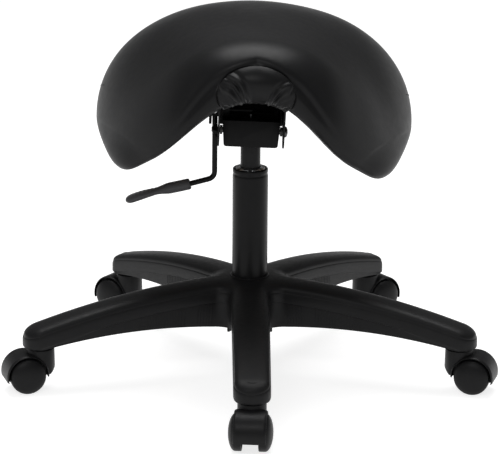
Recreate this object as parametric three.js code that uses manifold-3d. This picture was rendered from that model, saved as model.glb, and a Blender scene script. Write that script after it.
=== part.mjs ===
// A saddle stool: a padded saddle seat on a gas lift, over a five-arm base on twin-wheel casters.
// Lengths are in millimetres and +Z is up. The origin is on the column's axis at floor level, and
// -Y is the front. The lift is at its lowest.

import * as THREE from 'three';
import { mergeVertices } from 'three/addons/utils/BufferGeometryUtils.js';
import Module from 'manifold-3d';

const wasm = await Module();
wasm.setup();

const { degToRad } = THREE.MathUtils;

// Clearances and overruns
const fitGap = 0.3;
const cutOverrun = 6;

// Casters
const casterCount = 5;
const wheelRadius = 25;
const wheelInnerFace = 11.2;
const wheelTread = 8.3;
const wheelDome = 10.2;
const wheelCap = 4.7;
const wheelGap = 3;
const casterTrail = 22.5;
const hoodRim = 2;
const hoodHalfWidth = 21.6;
const hoodEdgeRadius = 3;
const hoodFrontHeight = 19;
const hoodWebHeight = 14;
const hoodBackHeight = 34;
const hoodBackChamfer = 9;
const neckRadius = 19.2;
const neckTopGap = 1.6;
const axleRadius = 4;
const axleEndGap = 2;
const stemRadius = 5.5;
const stemTopChamfer = 1.2;
const stemInsertion = 26;
const stemSeatHeight = 35;
const stemGrooveHeight = 47;
const stemGrooveWidth = 3.6;
const stemGrooveDepth = 0.9;
const stemBeadDepth = 0.6;
const frontCasterTurn = degToRad(4.7);
const rearCasterTurn = degToRad(20);
const wheelSegments = 16;
const wheelDomeSteps = 4;
const hoodSegments = 18;
const stemSegments = 8;

// Star base
const baseTurn = degToRad(0.8);
const armEndHeight = 62;
const armTipRadius = 330.5;
const stemTipInset = 24.5;
const armEndDepth = 33.4;
const armRootHalfWidth = 27.4;
const armEndHalfWidth = 24.9;
const armNoseLength = 20;
const armNoseDrop = 7;
const armCapLeast = 1.2;
const armShoulderRootDepth = 12.5;
const armShoulderEndDepth = 9;
const armLedge = 1.4;
const armLipDepth = 25.5;
const armLipLeast = 1.6;
const armSkirtInset = 2;
const armArchRise = 15;
const armArchReach = 158.6;
const armArchEndPast = 2.6;
const armWall = 3.2;
const armRibThickness = 2.6;
const armRibSetback = 3;
const armRibEndSetback = 66;
const armRibPitch = 50;
const socketTubeRadius = 12;
const hubDepth = 74.5;
const hubRadius = 57;
const hubShoulder = 17;
const hubRise = 0.8;
const hubTubeRadius = 33;
const hubPocketOuterRadius = 50;
const hubRibThickness = 3;
const hubRibCount = 5;
const hubRingOuterRadius = 27.3;
const hubRingHeight = 5.4;
const hubRingProud = 2.2;
const armSteps = 5;
const noseSteps = 4;
const capSteps = 5;
const pocketSteps = 3;
const capShapeShare = 0.75;
const noseWidthLeastShare = 0.5;
const hubSegments = 30;
const fullTurn = 360;
const quarterTurn = 90;

// Gas lift
const standTubeRadius = 25;
const standTubeWall = 1.8;
const standFootRise = 6;
const liftShowing = 37;
const standTubeTaper = 1.3;
const standTubeFloor = 3;
const standTubeLip = 2.6;
const standTubeLipHeight = 8;
const crimpDepth = 0.9;
const crimpHeight = 3;
const bushingLength = 64;
const guideRingProud = 1.2;
const pressureTubeRadius = 14;
const pressureTubeWall = 1.9;
const liftFootRoom = 23;
const liftTopRise = 12;
const liftTaperLength = 42;
const liftTaperDrop = 1.1;
const liftTopCap = 7;
const liftStroke = 120;
const rodRadius = 5;
const rodJournalRadius = 4;
const rodClipRadius = 7;
const rodClipThickness = 1.4;
const rodTail = 3;
const pistonThickness = 12;
const pistonGap = 0.4;
const pistonHeadroom = 8;
const rodGuideLength = 14;
const washerRadius = 12.5;
const washerThickness = 1.5;
const bearingThickness = 3.2;
const bearingRadius = 11.8;
const bumperRadius = 12;
const bumperWaist = 1.6;
const valveRadius = 3.5;
const valvePressGap = 0.5;
const valveDepth = 16;
const valveHeadRadius = 5.6;
const valveHeadThickness = 3;
const tubeSegments = 20;
const smallSegments = 10;
const cornerSegments = 6;

// Mechanism under the seat
const seatLean = degToRad(2);
const pivotHeight = 353;
const housingPivotRise = 22;
const housingHeight = 37;
const housingHalfDepth = 32;
const housingTopHalfWidth = 40.2;
const housingBottomHalfWidth = 37.4;
const housingCornerRadius = 4;
const housingWall = 2.3;
const housingLipDrop = 2.5;
const housingLipReach = 8;
const housingLipHalfWidth = 32;
const socketWall = 3.6;
const socketRimDrop = 1.5;
const socketHeight = 33;
const plateHalfLength = 72;
const plateCentreY = 6;
const plateRise = 55;
const plateThickness = 2.6;
const plateBendRadius = 4;
const flangeOuterX = 46.2;
const flangeEar = 23;
const flangeTopHalfLength = 46;
const plateWallRoom = 14;
const plateWallFall = 10;
const pivotY = -25;
const pivotBoltRadius = 4;
const pivotHeadRadius = 7.6;
const pivotHeadHeight = 4.2;
const domeShoulderShare = 0.8;
const pivotNutFlat = 6.2;
const pivotNutThickness = 6.5;
const pivotBoltTail = 1.6;
const pivotSpacerRadius = 6.4;
const windowHalfLength = 15;
const windowRise = 8;
const windowTopDrop = 12;

// Lift lever
const leverRodRadius = 3.4;
const leverRodX = -51.3;
const leverCornerX = -48.3;
const leverPivotRise = 22.5;
const leverInnerEnd = 2;
const leverBendRadius = 8;
const leverDrop = 98.5;
const leverGripStart = 35;
const leverRodInGrip = 34;
const leverFall = degToRad(17.2);
const leverEyeRadius = 5.6;
const leverEyeHalfLength = 5;
const leverPinRadius = 2.5;
const leverPinHead = 1.5;
const leverPinHeadRadius = 3.8;
const leverEarThickness = 2.5;
const leverEarRise = 9.5;
const leverEarTabX = -59.2;
const leverEarTabWidth = 3.8;
const leverEarTabDrop = 19.5;
const leverEarBridgeDrop = 8.5;
const leverEarFoot = 7;
const gripLength = 94.5;
const gripBossRadius = 7.4;
const gripStartShare = 0.82;
const gripBladeStartShare = 0.26;
const gripBladeFullShare = 0.54;
const gripEndRoundShare = 0.86;
const gripEndShare = 0.2;
const gripStationShares = [0, 0.02, 0.1, 0.22, 0.32, 0.42, 0.56, 0.72, 0.86, 0.95, 0.99, 1];
const gripBladeHalfWidth = 13;
const gripBladeHalfThickness = 4.3;
const gripBladeSag = 1.2;
const gripSides = 12;
const rodSides = 10;
const leverBendSteps = 4;

// Saddle seat, in the frame of the seat plate
const seatOffsetX = 3.3;
const saddleTipX = 198.6;
const saddleTipDrop = 105;
const saddleFrontRise = 38.5;
const saddleFrontReach = 84;
const saddleFrontTipHandle = 102;
const saddleFrontTipAngle = degToRad(77);
const saddleRearRise = 68;
const saddleRearReach = 207;
const saddleRearTipHandle = 57.5;
const saddleRearTipAngle = degToRad(-46);
const saddleFrontDepth = 163.5;
const saddleRearDepth = 195.5;
const saddlePlanShape = 1.8;
const saddleFrontThickness = 62;
const saddleRearThickness = 66;
const saddleThicknessShape = 2.43;
const saddleEdgeShape = 0.75;
const saddleSteps = 30;
const saddleRingSteps = 24;
const normalStep = 0.001;
const seamPlace = degToRad(142);
const seamWidth = degToRad(9);
const seamDepth = 1.6;
const panThickness = 11;
const panRoom = 1;
const panSetback = 1.5;
const panTipShare = 0.74;
const panTipRoomShare = 0.012;
const panFrontShare = 0.19;
const panRearShare = 0.87;
const panSteps = 10;
const panCrossSteps = 4;
const panPadHalfWidth = 13;
const screwX = 33;
const screwFrontY = -46;
const screwRearY = 60;
const screwRadius = 3;
const screwHeadRadius = 6.2;
const screwHeadHeight = 3.6;
const screwReach = 15;
const gussetHalfShare = 0.31;
const gussetThickness = 4.6;
const gussetInset = 1.2;
const gussetTopAngle = degToRad(168);
const gussetBottomAngle = degToRad(230);
const gussetPleat = 1.3;
const gussetPleatCount = 5;
const gussetEdgeShare = 0.06;
const gussetSteps = 20;
const gussetCrossSteps = 4;

// Values that several pieces follow
const stemCircleRadius = armTipRadius - stemTipInset;
const hubTopHeight = armEndHeight + hubDepth;
const armTopArcRadius = stemCircleRadius ** 2 / (2 * (hubDepth - armEndDepth));
const armArchHeight = armEndHeight + armArchRise;
const armArchPlace = stemCircleRadius + armArchEndPast - armArchReach;
const armArchArcRadius = armArchReach ** 2 / (2 * armArchRise);
const housingBottom = pivotHeight - housingPivotRise;
const plateTopHeight = pivotHeight + plateRise;
const windowBottom = pivotHeight + windowRise;
const windowTop = plateTopHeight - windowTopDrop;
const standTubeBottom = armEndHeight + standFootRise;
const standTubeTop = housingBottom - liftShowing;
const standTubeInnerRadius = standTubeRadius - standTubeWall;
const bearingFloor = standTubeBottom + standTubeFloor;
const pressureTubeTop = pivotHeight + liftTopRise;
const pressureTubeBottom = bearingFloor + liftFootRoom;
const leverPivotHeight = pivotHeight + leverPivotRise;
const leverDropHeight = leverPivotHeight - leverDrop;
const saddleTipHeight = plateTopHeight - saddleTipDrop;
const saddleFrontHeight = plateTopHeight + saddleFrontRise;
const saddleRearHeight = plateTopHeight + saddleRearRise;
const hoodRadius = wheelRadius + wheelGap + hoodRim;
const wheelOuterFace = wheelInnerFace + wheelTread + wheelDome;
const leanHeight = housingBottom + housingWall / 2;
const flangeInnerX = flangeOuterX - plateThickness;
const screwPlaces = [
  ['front_left', -screwX, screwFrontY],
  ['front_right', screwX, screwFrontY],
  ['rear_left', -screwX, screwRearY],
  ['rear_right', screwX, screwRearY],
];

// Materials
function paint(color, roughness, metalness = 0) {
  return new THREE.MeshStandardMaterial({ color, roughness, metalness });
}

const vinyl = paint(0x2b2b2d, 0.42);
const nylon = paint(0x232324, 0.6);
const rubberBlack = paint(0x161616, 0.8);
const blackSteel = paint(0x1b1b1c, 0.45, 0.6);
const brightSteel = paint(0xb9bbbe, 0.3, 0.9);
const paleNylon = paint(0xc9c9c4, 0.55);
const plywood = paint(0xa67c52, 0.75);

// Solids
function toSolid(geometry) {
  const bare = geometry.clone();
  bare.deleteAttribute('normal');
  bare.deleteAttribute('uv');
  const merged = mergeVertices(bare);
  return new wasm.Manifold(new wasm.Mesh({
    numProp: 3,
    vertProperties: new Float32Array(merged.attributes.position.array),
    triVerts: new Uint32Array(merged.index.array),
  }));
}

function toGeometry(solid) {
  const { vertProperties, triVerts } = solid.getMesh();
  const geometry = new THREE.BufferGeometry();
  geometry.setAttribute('position', new THREE.BufferAttribute(new Float32Array(vertProperties), 3));
  geometry.setIndex(new THREE.BufferAttribute(new Uint32Array(triVerts), 1));
  geometry.computeVertexNormals();
  return geometry;
}

// A closed skin through rings of points, closed at each end by a fan to one point.
function skin(rings, first, last) {
  const count = rings[0].length;
  const points = [first, ...rings.flat(), last];
  const index = [];
  const at = (ring, side) => 1 + ring * count + (side % count);
  for (let side = 0; side < count; side += 1) {
    index.push(0, at(0, side + 1), at(0, side));
    index.push(points.length - 1, at(rings.length - 1, side), at(rings.length - 1, side + 1));
    for (let ring = 0; ring + 1 < rings.length; ring += 1) {
      index.push(at(ring, side), at(ring, side + 1), at(ring + 1, side));
      index.push(at(ring + 1, side), at(ring, side + 1), at(ring + 1, side + 1));
    }
  }
  return closed(points, index);
}

// A geometry from points and triangles, turned outside out where its volume is negative.
function closed(points, index) {
  let volume = 0;
  for (let i = 0; i < index.length; i += 3) {
    const [a, b, c] = [points[index[i]], points[index[i + 1]], points[index[i + 2]]];
    volume += a.dot(new THREE.Vector3().crossVectors(b, c));
  }
  if (volume < 0) {
    index.reverse();
  }
  const geometry = new THREE.BufferGeometry().setFromPoints(points);
  geometry.setIndex(index);
  geometry.computeVertexNormals();
  return geometry;
}

// A revolved solid about Z from [radius, height] pairs, which start and end on the axis or close.
function revolve(profile, segments) {
  const geometry = new THREE.LatheGeometry(profile.map(([r, z]) => new THREE.Vector2(r, z)), segments);
  return geometry.rotateX(Math.PI / 2);
}

// A plain ring or tube about Z.
function ring(inner, outer, bottom, top, segments) {
  return revolve([[inner, bottom], [outer, bottom], [outer, top], [inner, top], [inner, bottom]], segments);
}

// A rod about Z.
function rod(radius, bottom, top, segments) {
  return revolve([[0, bottom], [radius, bottom], [radius, top], [0, top]], segments);
}

// The radius of a bore whose flats stand clear of the round piece in it.
function bore(radius, segments) {
  return (radius + fitGap) / Math.cos(Math.PI / segments);
}

// A box between two corners.
function block(x0, x1, y0, y1, z0, z1) {
  const geometry = new THREE.BoxGeometry(x1 - x0, y1 - y0, z1 - z0);
  return geometry.translate((x0 + x1) / 2, (y0 + y1) / 2, (z0 + z1) / 2);
}

// A shape, or an outline of pairs, made as thick as the depth along Z.
function extruded(outline, depth) {
  const points = (pairs) => pairs.map(([u, v]) => new THREE.Vector2(u, v));
  const shape = Array.isArray(outline) ? new THREE.Shape(points(outline)) : outline;
  return new THREE.ExtrudeGeometry(shape, { depth, bevelEnabled: false, curveSegments: cornerSegments });
}

// An outline of [x, z] pairs, or a shape in those two directions, carried along Y from y0 to y1.
function alongY(outline, y0, y1) {
  return extruded(outline, y1 - y0).rotateX(Math.PI / 2).translate(0, y1, 0);
}

// An outline of [y, z] pairs carried along X from x0 to x1.
function alongX(outline, x0, x1) {
  return extruded(outline, x1 - x0).rotateX(Math.PI / 2).rotateZ(Math.PI / 2).translate(x0, 0, 0);
}

function addAll(solids) {
  return solids.reduce((sum, solid) => sum.add(solid));
}

function piece(name, geometry, material) {
  const mesh = new THREE.Mesh(geometry, material);
  mesh.name = name;
  return mesh;
}

// Star base: heights of the arm at the distance r from the column's axis
const noseStart = armTipRadius - armNoseLength;

function noseShare(r) {
  return THREE.MathUtils.clamp((r - noseStart) / armNoseLength, 0, 1);
}

function spineHeight(r) {
  return hubTopHeight - r * r / (2 * armTopArcRadius);
}

function crownHeight(r) {
  const s = noseShare(r);
  return spineHeight(r) - armNoseDrop * (1 - Math.sqrt(1 - s * s));
}

function shoulderHeight(r) {
  const depth = THREE.MathUtils.lerp(armShoulderRootDepth, armShoulderEndDepth, r / armTipRadius);
  return Math.min(spineHeight(r) - depth, crownHeight(r) - armCapLeast);
}

function undersideHeight(r) {
  const fall = (r - armArchPlace) ** 2 / (2 * armArchArcRadius);
  return Math.max(armEndHeight, armArchHeight - fall);
}

function lipHeight(r) {
  return Math.max(crownHeight(r) - armLipDepth, undersideHeight(r) + armLipLeast);
}

function armHalfWidth(r) {
  const straight = THREE.MathUtils.lerp(armRootHalfWidth, armEndHalfWidth, Math.min(r / noseStart, 1));
  const s = noseShare(r);
  return straight * (noseWidthLeastShare + (1 - noseWidthLeastShare) * Math.sqrt(1 - s * s));
}

// The cap is a rounded D down to a narrow ledge. The side below the ledge ends in a lip, and the skirt is
// set in under that, at the nose too.
function armSection(r) {
  const crown = crownHeight(r);
  const shoulder = shoulderHeight(r);
  const lip = lipHeight(r);
  const half = armHalfWidth(r);
  const cap = half - armLedge;
  const side = [];
  for (let i = 1; i <= capSteps; i += 1) {
    const a = (i / capSteps) * Math.PI / 2;
    const height = i === capSteps ? shoulder : shoulder + (crown - shoulder) * Math.cos(a) ** capShapeShare;
    side.push([r, cap * Math.sin(a) ** capShapeShare, height]);
  }
  const skirt = half - armSkirtInset;
  const back = r - armSkirtInset * noseShare(r);
  side.push([r, half, shoulder - armLedge], [r, half, lip], [back, skirt, lip], [back, skirt, undersideHeight(r)]);
  const far = [...side].reverse().map(([x, y, z]) => new THREE.Vector3(x, -y, z));
  return [new THREE.Vector3(r, 0, crown), ...side.map(([x, y, z]) => new THREE.Vector3(x, y, z)), ...far];
}

function armStations(from, to, straightSteps, roundSteps) {
  const places = [];
  for (let i = 0; i <= straightSteps; i += 1) {
    places.push(THREE.MathUtils.lerp(from, noseStart, i / straightSteps));
  }
  for (let i = 1; i <= roundSteps; i += 1) {
    places.push(noseStart + (to - noseStart) * Math.sin((i / roundSteps) * Math.PI / 2));
  }
  return places;
}

function armOuter() {
  const start = hubRingOuterRadius;
  const rings = armStations(start, armTipRadius, armSteps, noseSteps).map(armSection);
  const middle = (r) => new THREE.Vector3(r, 0, (shoulderHeight(r) + lipHeight(r)) / 2);
  return skin(rings, middle(start), middle(armTipRadius));
}

// The pocket under an arm, as [y, z] pairs. A rib reaches a share of the wall into the arm's walls.
function pocketSection(r, wallShare, low) {
  const grow = wallShare * armWall;
  const half = armHalfWidth(r) - armSkirtInset - armWall + grow;
  const roof = crownHeight(r) - 3 * armWall / 2 + grow;
  const shoulder = roof - half * (1 - capShapeShare);
  const right = [[half, low], [half, shoulder], [half / 2, roof]];
  return [...right, [-half / 2, roof], [-half, shoulder], [-half, low]];
}

function armPocket() {
  const from = hubPocketOuterRadius - armWall;
  const to = armTipRadius - armSkirtInset - armWall;
  const rings = armStations(from, to, pocketSteps, pocketSteps - 1).map((r) => (
    pocketSection(r, 0, armEndHeight - cutOverrun).map(([y, z]) => new THREE.Vector3(r, y, z))));
  const middle = (r) => new THREE.Vector3(r, 0, armArchHeight);
  return skin(rings, middle(from), middle(to));
}

// Cross ribs, and the caster's socket tube with the web that carries it.
function armRibs() {
  const ribs = [];
  const nearest = hubPocketOuterRadius + armRibPitch / 2;
  for (let r = stemCircleRadius - armRibEndSetback; r > nearest; r -= armRibPitch) {
    const outline = pocketSection(r, 0.5, armArchHeight + armRibSetback);
    ribs.push(toSolid(alongX(outline, r - armRibThickness / 2, r + armRibThickness / 2)));
  }
  const tube = rod(socketTubeRadius, armEndHeight, hubTopHeight, smallSegments);
  const web = block(stemCircleRadius - socketTubeRadius - armRibPitch / 2, armTipRadius - armSkirtInset - armWall / 2,
    -armRibThickness / 2, armRibThickness / 2, armEndHeight + armRibSetback, hubTopHeight);
  const socket = toSolid(tube.translate(stemCircleRadius, 0, 0)).add(toSolid(web));
  ribs.push(socket.intersect(toSolid(armOuter())));
  return addAll(ribs);
}

function hubTubeRadiusAt(z) {
  const s = (z - standTubeBottom) / (hubTopHeight - standTubeBottom);
  return standTubeRadius - standTubeTaper * (1 - Math.min(s, 1));
}

// The hub stands a little over the arms' crowns and rounds down to them.
function hubOuter() {
  const lip = lipHeight(hubRadius);
  const skirt = hubRadius - armSkirtInset;
  const rounding = [];
  for (let i = 0; i <= capSteps; i += 1) {
    const a = (i / capSteps) * Math.PI / 2;
    const r = hubRadius - hubShoulder * (1 - Math.cos(a));
    rounding.push([r, crownHeight(r) + hubRise * Math.sin(a) - hubShoulder * (1 - Math.sin(a))]);
  }
  return revolve([[0, armEndHeight], [skirt, armEndHeight], [skirt, lip], [hubRadius, lip], ...rounding,
    [0, hubTopHeight + hubRise]], hubSegments);
}

function starBase() {
  const spread = (solid, count) => addAll([...Array(count).keys()].map((i) => (
    solid.rotate([0, 0, -quarterTurn + i * fullTurn / count]))));
  const bottom = armEndHeight;
  const outer = spread(toSolid(armOuter()), casterCount).add(toSolid(hubOuter()));
  const pocket = toSolid(ring(hubTubeRadius, hubPocketOuterRadius, bottom - cutOverrun,
    crownHeight(hubPocketOuterRadius) - 2 * armWall, hubSegments));
  const hubRib = toSolid(block(hubTubeRadius - armWall, hubPocketOuterRadius + armWall / 2,
    -hubRibThickness / 2, hubRibThickness / 2, bottom + armRibSetback,
    crownHeight(hubPocketOuterRadius) - armWall).rotateZ(Math.PI / hubRibCount));
  const ribbed = outer.subtract(spread(toSolid(armPocket()), casterCount).add(pocket))
    .add(spread(hubRib, hubRibCount)).add(spread(armRibs(), casterCount));
  const low = bottom - cutOverrun;
  const high = hubTopHeight + cutOverrun;
  const tubeBore = toSolid(revolve([[0, low], [hubTubeRadiusAt(low) + fitGap, low],
    [hubTubeRadiusAt(hubTopHeight) + fitGap, hubTopHeight], [hubTubeRadiusAt(hubTopHeight) + fitGap, high],
    [0, high]], tubeSegments));
  const ringFloor = hubTopHeight + hubRingProud - hubRingHeight - fitGap;
  const ringSeat = toSolid(rod(hubRingOuterRadius + fitGap, ringFloor, high, tubeSegments));
  const stemTop = bottom + stemInsertion + fitGap;
  const socket = toSolid(rod(bore(stemRadius, stemSegments), low, stemTop, stemSegments)
    .translate(stemCircleRadius, 0, 0));
  return toGeometry(ribbed.subtract(tubeBore.add(ringSeat)).subtract(spread(socket, casterCount)));
}

function hubRing() {
  const top = hubTopHeight + hubRingProud;
  const inner = standTubeRadius + fitGap;
  return revolve([[inner, top - hubRingHeight], [hubRingOuterRadius, top - hubRingHeight],
    [hubRingOuterRadius, top - hubRingProud / 2], [hubRingOuterRadius - hubRingProud / 4, top], [inner, top],
    [inner, top - hubRingHeight]], tubeSegments);
}

// Casters, with the stem's axis at the origin and the trail along +X
function casterHood() {
  const drumProfile = [[0, -hoodHalfWidth], [hoodRadius - hoodEdgeRadius / 2, -hoodHalfWidth],
    [hoodRadius, -hoodHalfWidth + hoodEdgeRadius], [hoodRadius, hoodHalfWidth - hoodEdgeRadius],
    [hoodRadius - hoodEdgeRadius / 2, hoodHalfWidth], [0, hoodHalfWidth]];
  const atAxle = (geometry) => toSolid(geometry.translate(casterTrail, 0, wheelRadius));
  const drum = atAxle(revolve(drumProfile, hoodSegments).rotateX(Math.PI / 2));
  const neckTop = armEndHeight - neckTopGap;
  const neck = toSolid(rod(neckRadius, wheelRadius, neckTop, hoodSegments));
  const bridge = toSolid(block(0, casterTrail, -wheelInnerFace + fitGap, wheelInnerFace - fitGap, wheelRadius,
    wheelRadius + hoodRadius - hoodRim));
  const wide = hoodHalfWidth + cutOverrun;
  const reach = casterTrail + hoodRadius + cutOverrun;
  const high = neckTop + cutOverrun;
  const keep = toSolid(alongY([[-neckRadius - cutOverrun, high], [-neckRadius - cutOverrun, hoodBackHeight],
    [-neckRadius, hoodBackHeight], [-neckRadius + hoodBackChamfer, hoodBackHeight - hoodBackChamfer],
    [casterTrail - wheelInnerFace, hoodWebHeight], [casterTrail + wheelInnerFace, hoodWebHeight],
    [casterTrail + hoodRadius, hoodFrontHeight], [reach, hoodFrontHeight], [reach, high]], -wide, wide));
  const cavity = rod(wheelRadius + wheelGap, wheelInnerFace - fitGap, wide, hoodSegments);
  const cavityA = atAxle(cavity.clone().rotateX(Math.PI / 2));
  const cavityB = atAxle(cavity.rotateX(-Math.PI / 2));
  const axleHole = bore(axleRadius, smallSegments);
  const axleBore = atAxle(rod(axleHole, -wide, wide, smallSegments).rotateX(Math.PI / 2));
  const hole = bore(stemRadius, stemSegments);
  const bead = hole - stemBeadDepth;
  const half = stemGrooveWidth / 2;
  const stemBore = toSolid(revolve([[0, stemSeatHeight - fitGap], [hole, stemSeatHeight - fitGap],
    [hole, stemGrooveHeight - half / 2], [bead, stemGrooveHeight], [hole, stemGrooveHeight + half / 2],
    [hole, high], [0, high]], stemSegments));
  return toGeometry(addAll([drum, neck, bridge]).intersect(keep).subtract(cavityA).subtract(cavityB)
    .subtract(axleBore).subtract(stemBore));
}

function casterStem() {
  const half = stemGrooveWidth / 2;
  const groove = stemRadius - stemGrooveDepth;
  const top = armEndHeight + stemInsertion;
  return revolve([[0, stemSeatHeight], [stemRadius, stemSeatHeight], [stemRadius, stemGrooveHeight - half],
    [groove, stemGrooveHeight], [stemRadius, stemGrooveHeight + half], [stemRadius, top - stemTopChamfer],
    [stemRadius - stemTopChamfer, top], [0, top]], stemSegments);
}

// A wheel about Y, with a narrow tread, a domed outer face and a blind bore towards the hood's web.
function casterWheel(side) {
  const hole = bore(axleRadius, wheelSegments);
  const boreEnd = wheelOuterFace - wheelCap;
  const dome = [];
  for (let i = 0; i < wheelDomeSteps; i += 1) {
    const a = (i / wheelDomeSteps) * Math.PI / 2;
    dome.push([wheelRadius * Math.cos(a), wheelInnerFace + wheelTread + wheelDome * Math.sin(a)]);
  }
  const geometry = revolve([[0, boreEnd], [hole, boreEnd], [hole, wheelInnerFace],
    [wheelRadius, wheelInnerFace], ...dome, [0, wheelOuterFace]], wheelSegments);
  return geometry.rotateX(side * Math.PI / 2);
}

function casterAxle() {
  const end = wheelOuterFace - wheelCap - axleEndGap;
  return rod(axleRadius, -end, end, smallSegments).rotateX(Math.PI / 2);
}

// Gas lift
function standTube() {
  const inner = standTubeInnerRadius;
  const crimp = standTubeTop - standTubeLipHeight;
  const outer = standTubeRadius;
  const outerLow = hubTubeRadiusAt(standTubeBottom);
  const journalBore = bore(rodJournalRadius, tubeSegments);
  return revolve([[journalBore, standTubeBottom], [outerLow, standTubeBottom], [outer, hubTopHeight],
    [outer, crimp - crimpHeight], [outer - crimpDepth, crimp], [outer, crimp + crimpHeight],
    [outer - standTubeLip / 4, standTubeTop - standTubeLip / 4], [outer - standTubeLip, standTubeTop],
    [outer - standTubeLip - standTubeWall / 2, standTubeTop - standTubeWall],
    [inner - crimpDepth, crimp + crimpHeight], [inner - crimpDepth, crimp - crimpHeight],
    [inner, crimp - 2 * crimpHeight], [inner, hubTopHeight],
    [outerLow - standTubeWall, bearingFloor], [journalBore, bearingFloor], [journalBore, standTubeBottom]],
  tubeSegments);
}

const bushingTop = standTubeTop - standTubeLipHeight;

function tubeBushing() {
  return ring(bore(pressureTubeRadius, tubeSegments), standTubeInnerRadius - crimpDepth - fitGap,
    bushingTop - bushingLength, bushingTop, tubeSegments);
}

function guideRing() {
  const bottom = bushingTop + fitGap;
  const top = standTubeTop + guideRingProud;
  const outer = standTubeRadius - standTubeLip - standTubeWall / 2 - 2 * fitGap;
  const inner = bore(pressureTubeRadius, tubeSegments);
  return revolve([[inner, bottom], [outer, bottom], [outer, top - guideRingProud],
    [outer - guideRingProud, top], [inner, top], [inner, bottom]], tubeSegments);
}

function pressureTube() {
  const inner = pressureTubeRadius - pressureTubeWall;
  const top = pressureTubeTop;
  const cavityTop = top - liftTaperLength;
  const valveTop = top - liftTopCap;
  const narrow = bore(valveRadius, smallSegments);
  const wide = bore(valveHeadRadius, smallSegments);
  return revolve([[inner, pressureTubeBottom], [pressureTubeRadius, pressureTubeBottom],
    [pressureTubeRadius, top - liftTaperLength], [pressureTubeRadius - liftTaperDrop, top - fitGap],
    [pressureTubeRadius - 2 * liftTaperDrop, top], [narrow, top], [narrow, valveTop], [wide, valveTop],
    [wide, cavityTop + liftTaperDrop], [inner, cavityTop], [inner, pressureTubeBottom]], tubeSegments);
}

function taperRadius(z) {
  const s = THREE.MathUtils.clamp((z - pressureTubeTop + liftTaperLength) / liftTaperLength, 0, 1);
  return pressureTubeRadius - liftTaperDrop * s;
}

function taperSocket() {
  const bottom = housingBottom - socketRimDrop;
  const top = bottom + socketHeight;
  const outer = pressureTubeRadius + fitGap + socketWall;
  return revolve([[taperRadius(bottom) + fitGap, bottom], [outer, bottom], [outer, top - socketRimDrop],
    [outer - socketRimDrop, top], [taperRadius(top) + fitGap, top], [taperRadius(bottom) + fitGap, bottom]],
  tubeSegments);
}

const bearingStack = {
  lower: bearingFloor + fitGap,
  cage: bearingFloor + washerThickness + 2 * fitGap,
  upper: bearingFloor + washerThickness + bearingThickness + 3 * fitGap,
  bumper: bearingFloor + 2 * washerThickness + bearingThickness + 4 * fitGap,
};
const pistonBottom = pressureTubeBottom + rodGuideLength + liftStroke + pistonHeadroom;

const rodBore = bore(rodRadius, smallSegments);

function washer(bottom) {
  return ring(rodBore, washerRadius, bottom, bottom + washerThickness, smallSegments);
}

function thrustBearing() {
  const bottom = bearingStack.cage;
  const edge = bearingThickness / 4;
  return revolve([[rodBore, bottom], [bearingRadius - edge, bottom], [bearingRadius, bottom + edge],
    [bearingRadius, bottom + bearingThickness - edge], [bearingRadius - edge, bottom + bearingThickness],
    [rodBore, bottom + bearingThickness], [rodBore, bottom]], smallSegments);
}

function rubberBumper() {
  const bottom = bearingStack.bumper;
  const top = pressureTubeBottom - fitGap;
  return revolve([[rodBore, bottom], [bumperRadius, bottom], [bumperRadius - bumperWaist, (bottom + top) / 2],
    [bumperRadius, top], [rodBore, top], [rodBore, bottom]], smallSegments);
}

function pistonRod() {
  const bottom = standTubeBottom - fitGap - rodClipThickness - rodTail;
  const shoulder = bearingFloor + fitGap;
  const top = pistonBottom + pistonThickness + rodTail / 2;
  const journal = rodJournalRadius;
  return revolve([[0, bottom], [journal, bottom], [journal, shoulder], [rodRadius, shoulder],
    [rodRadius, pistonBottom - fitGap], [journal, pistonBottom - fitGap], [journal, top], [0, top]],
  smallSegments);
}

function piston() {
  const outer = pressureTubeRadius - pressureTubeWall - pistonGap;
  const waist = outer - 3 * pistonGap;
  const top = pistonBottom + pistonThickness;
  const groove = pistonThickness / 3;
  const hole = bore(rodJournalRadius, smallSegments);
  return revolve([[hole, pistonBottom], [outer, pistonBottom], [outer, pistonBottom + groove],
    [waist, pistonBottom + groove], [waist, top - groove], [outer, top - groove], [outer, top], [hole, top],
    [hole, pistonBottom]], smallSegments);
}

function rodClip() {
  const top = standTubeBottom - fitGap;
  const hole = bore(rodJournalRadius, smallSegments);
  return ring(hole, rodClipRadius, top - rodClipThickness, top, smallSegments);
}

function rodGuide() {
  return ring(rodBore, pressureTubeRadius - pressureTubeWall - 2 * fitGap, pressureTubeBottom,
    pressureTubeBottom + rodGuideLength, smallSegments);
}

function valveButton() {
  const top = leverPivotHeight - leverRodRadius - valvePressGap;
  const collarTop = pressureTubeTop - liftTopCap - fitGap;
  const collarBottom = collarTop - valveHeadThickness;
  const foot = collarBottom - valveDepth;
  return revolve([[0, foot], [valveRadius, foot], [valveRadius, collarBottom],
    [valveHeadRadius, collarBottom], [valveHeadRadius, collarTop], [valveRadius, collarTop], [valveRadius, top - fitGap],
    [valveRadius - fitGap, top], [0, top]], smallSegments);
}

// Mechanism
function housingHalfWidthAt(z) {
  const slope = (housingTopHalfWidth - housingBottomHalfWidth) / housingHeight;
  return housingBottomHalfWidth + slope * (z - housingBottom);
}

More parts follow.
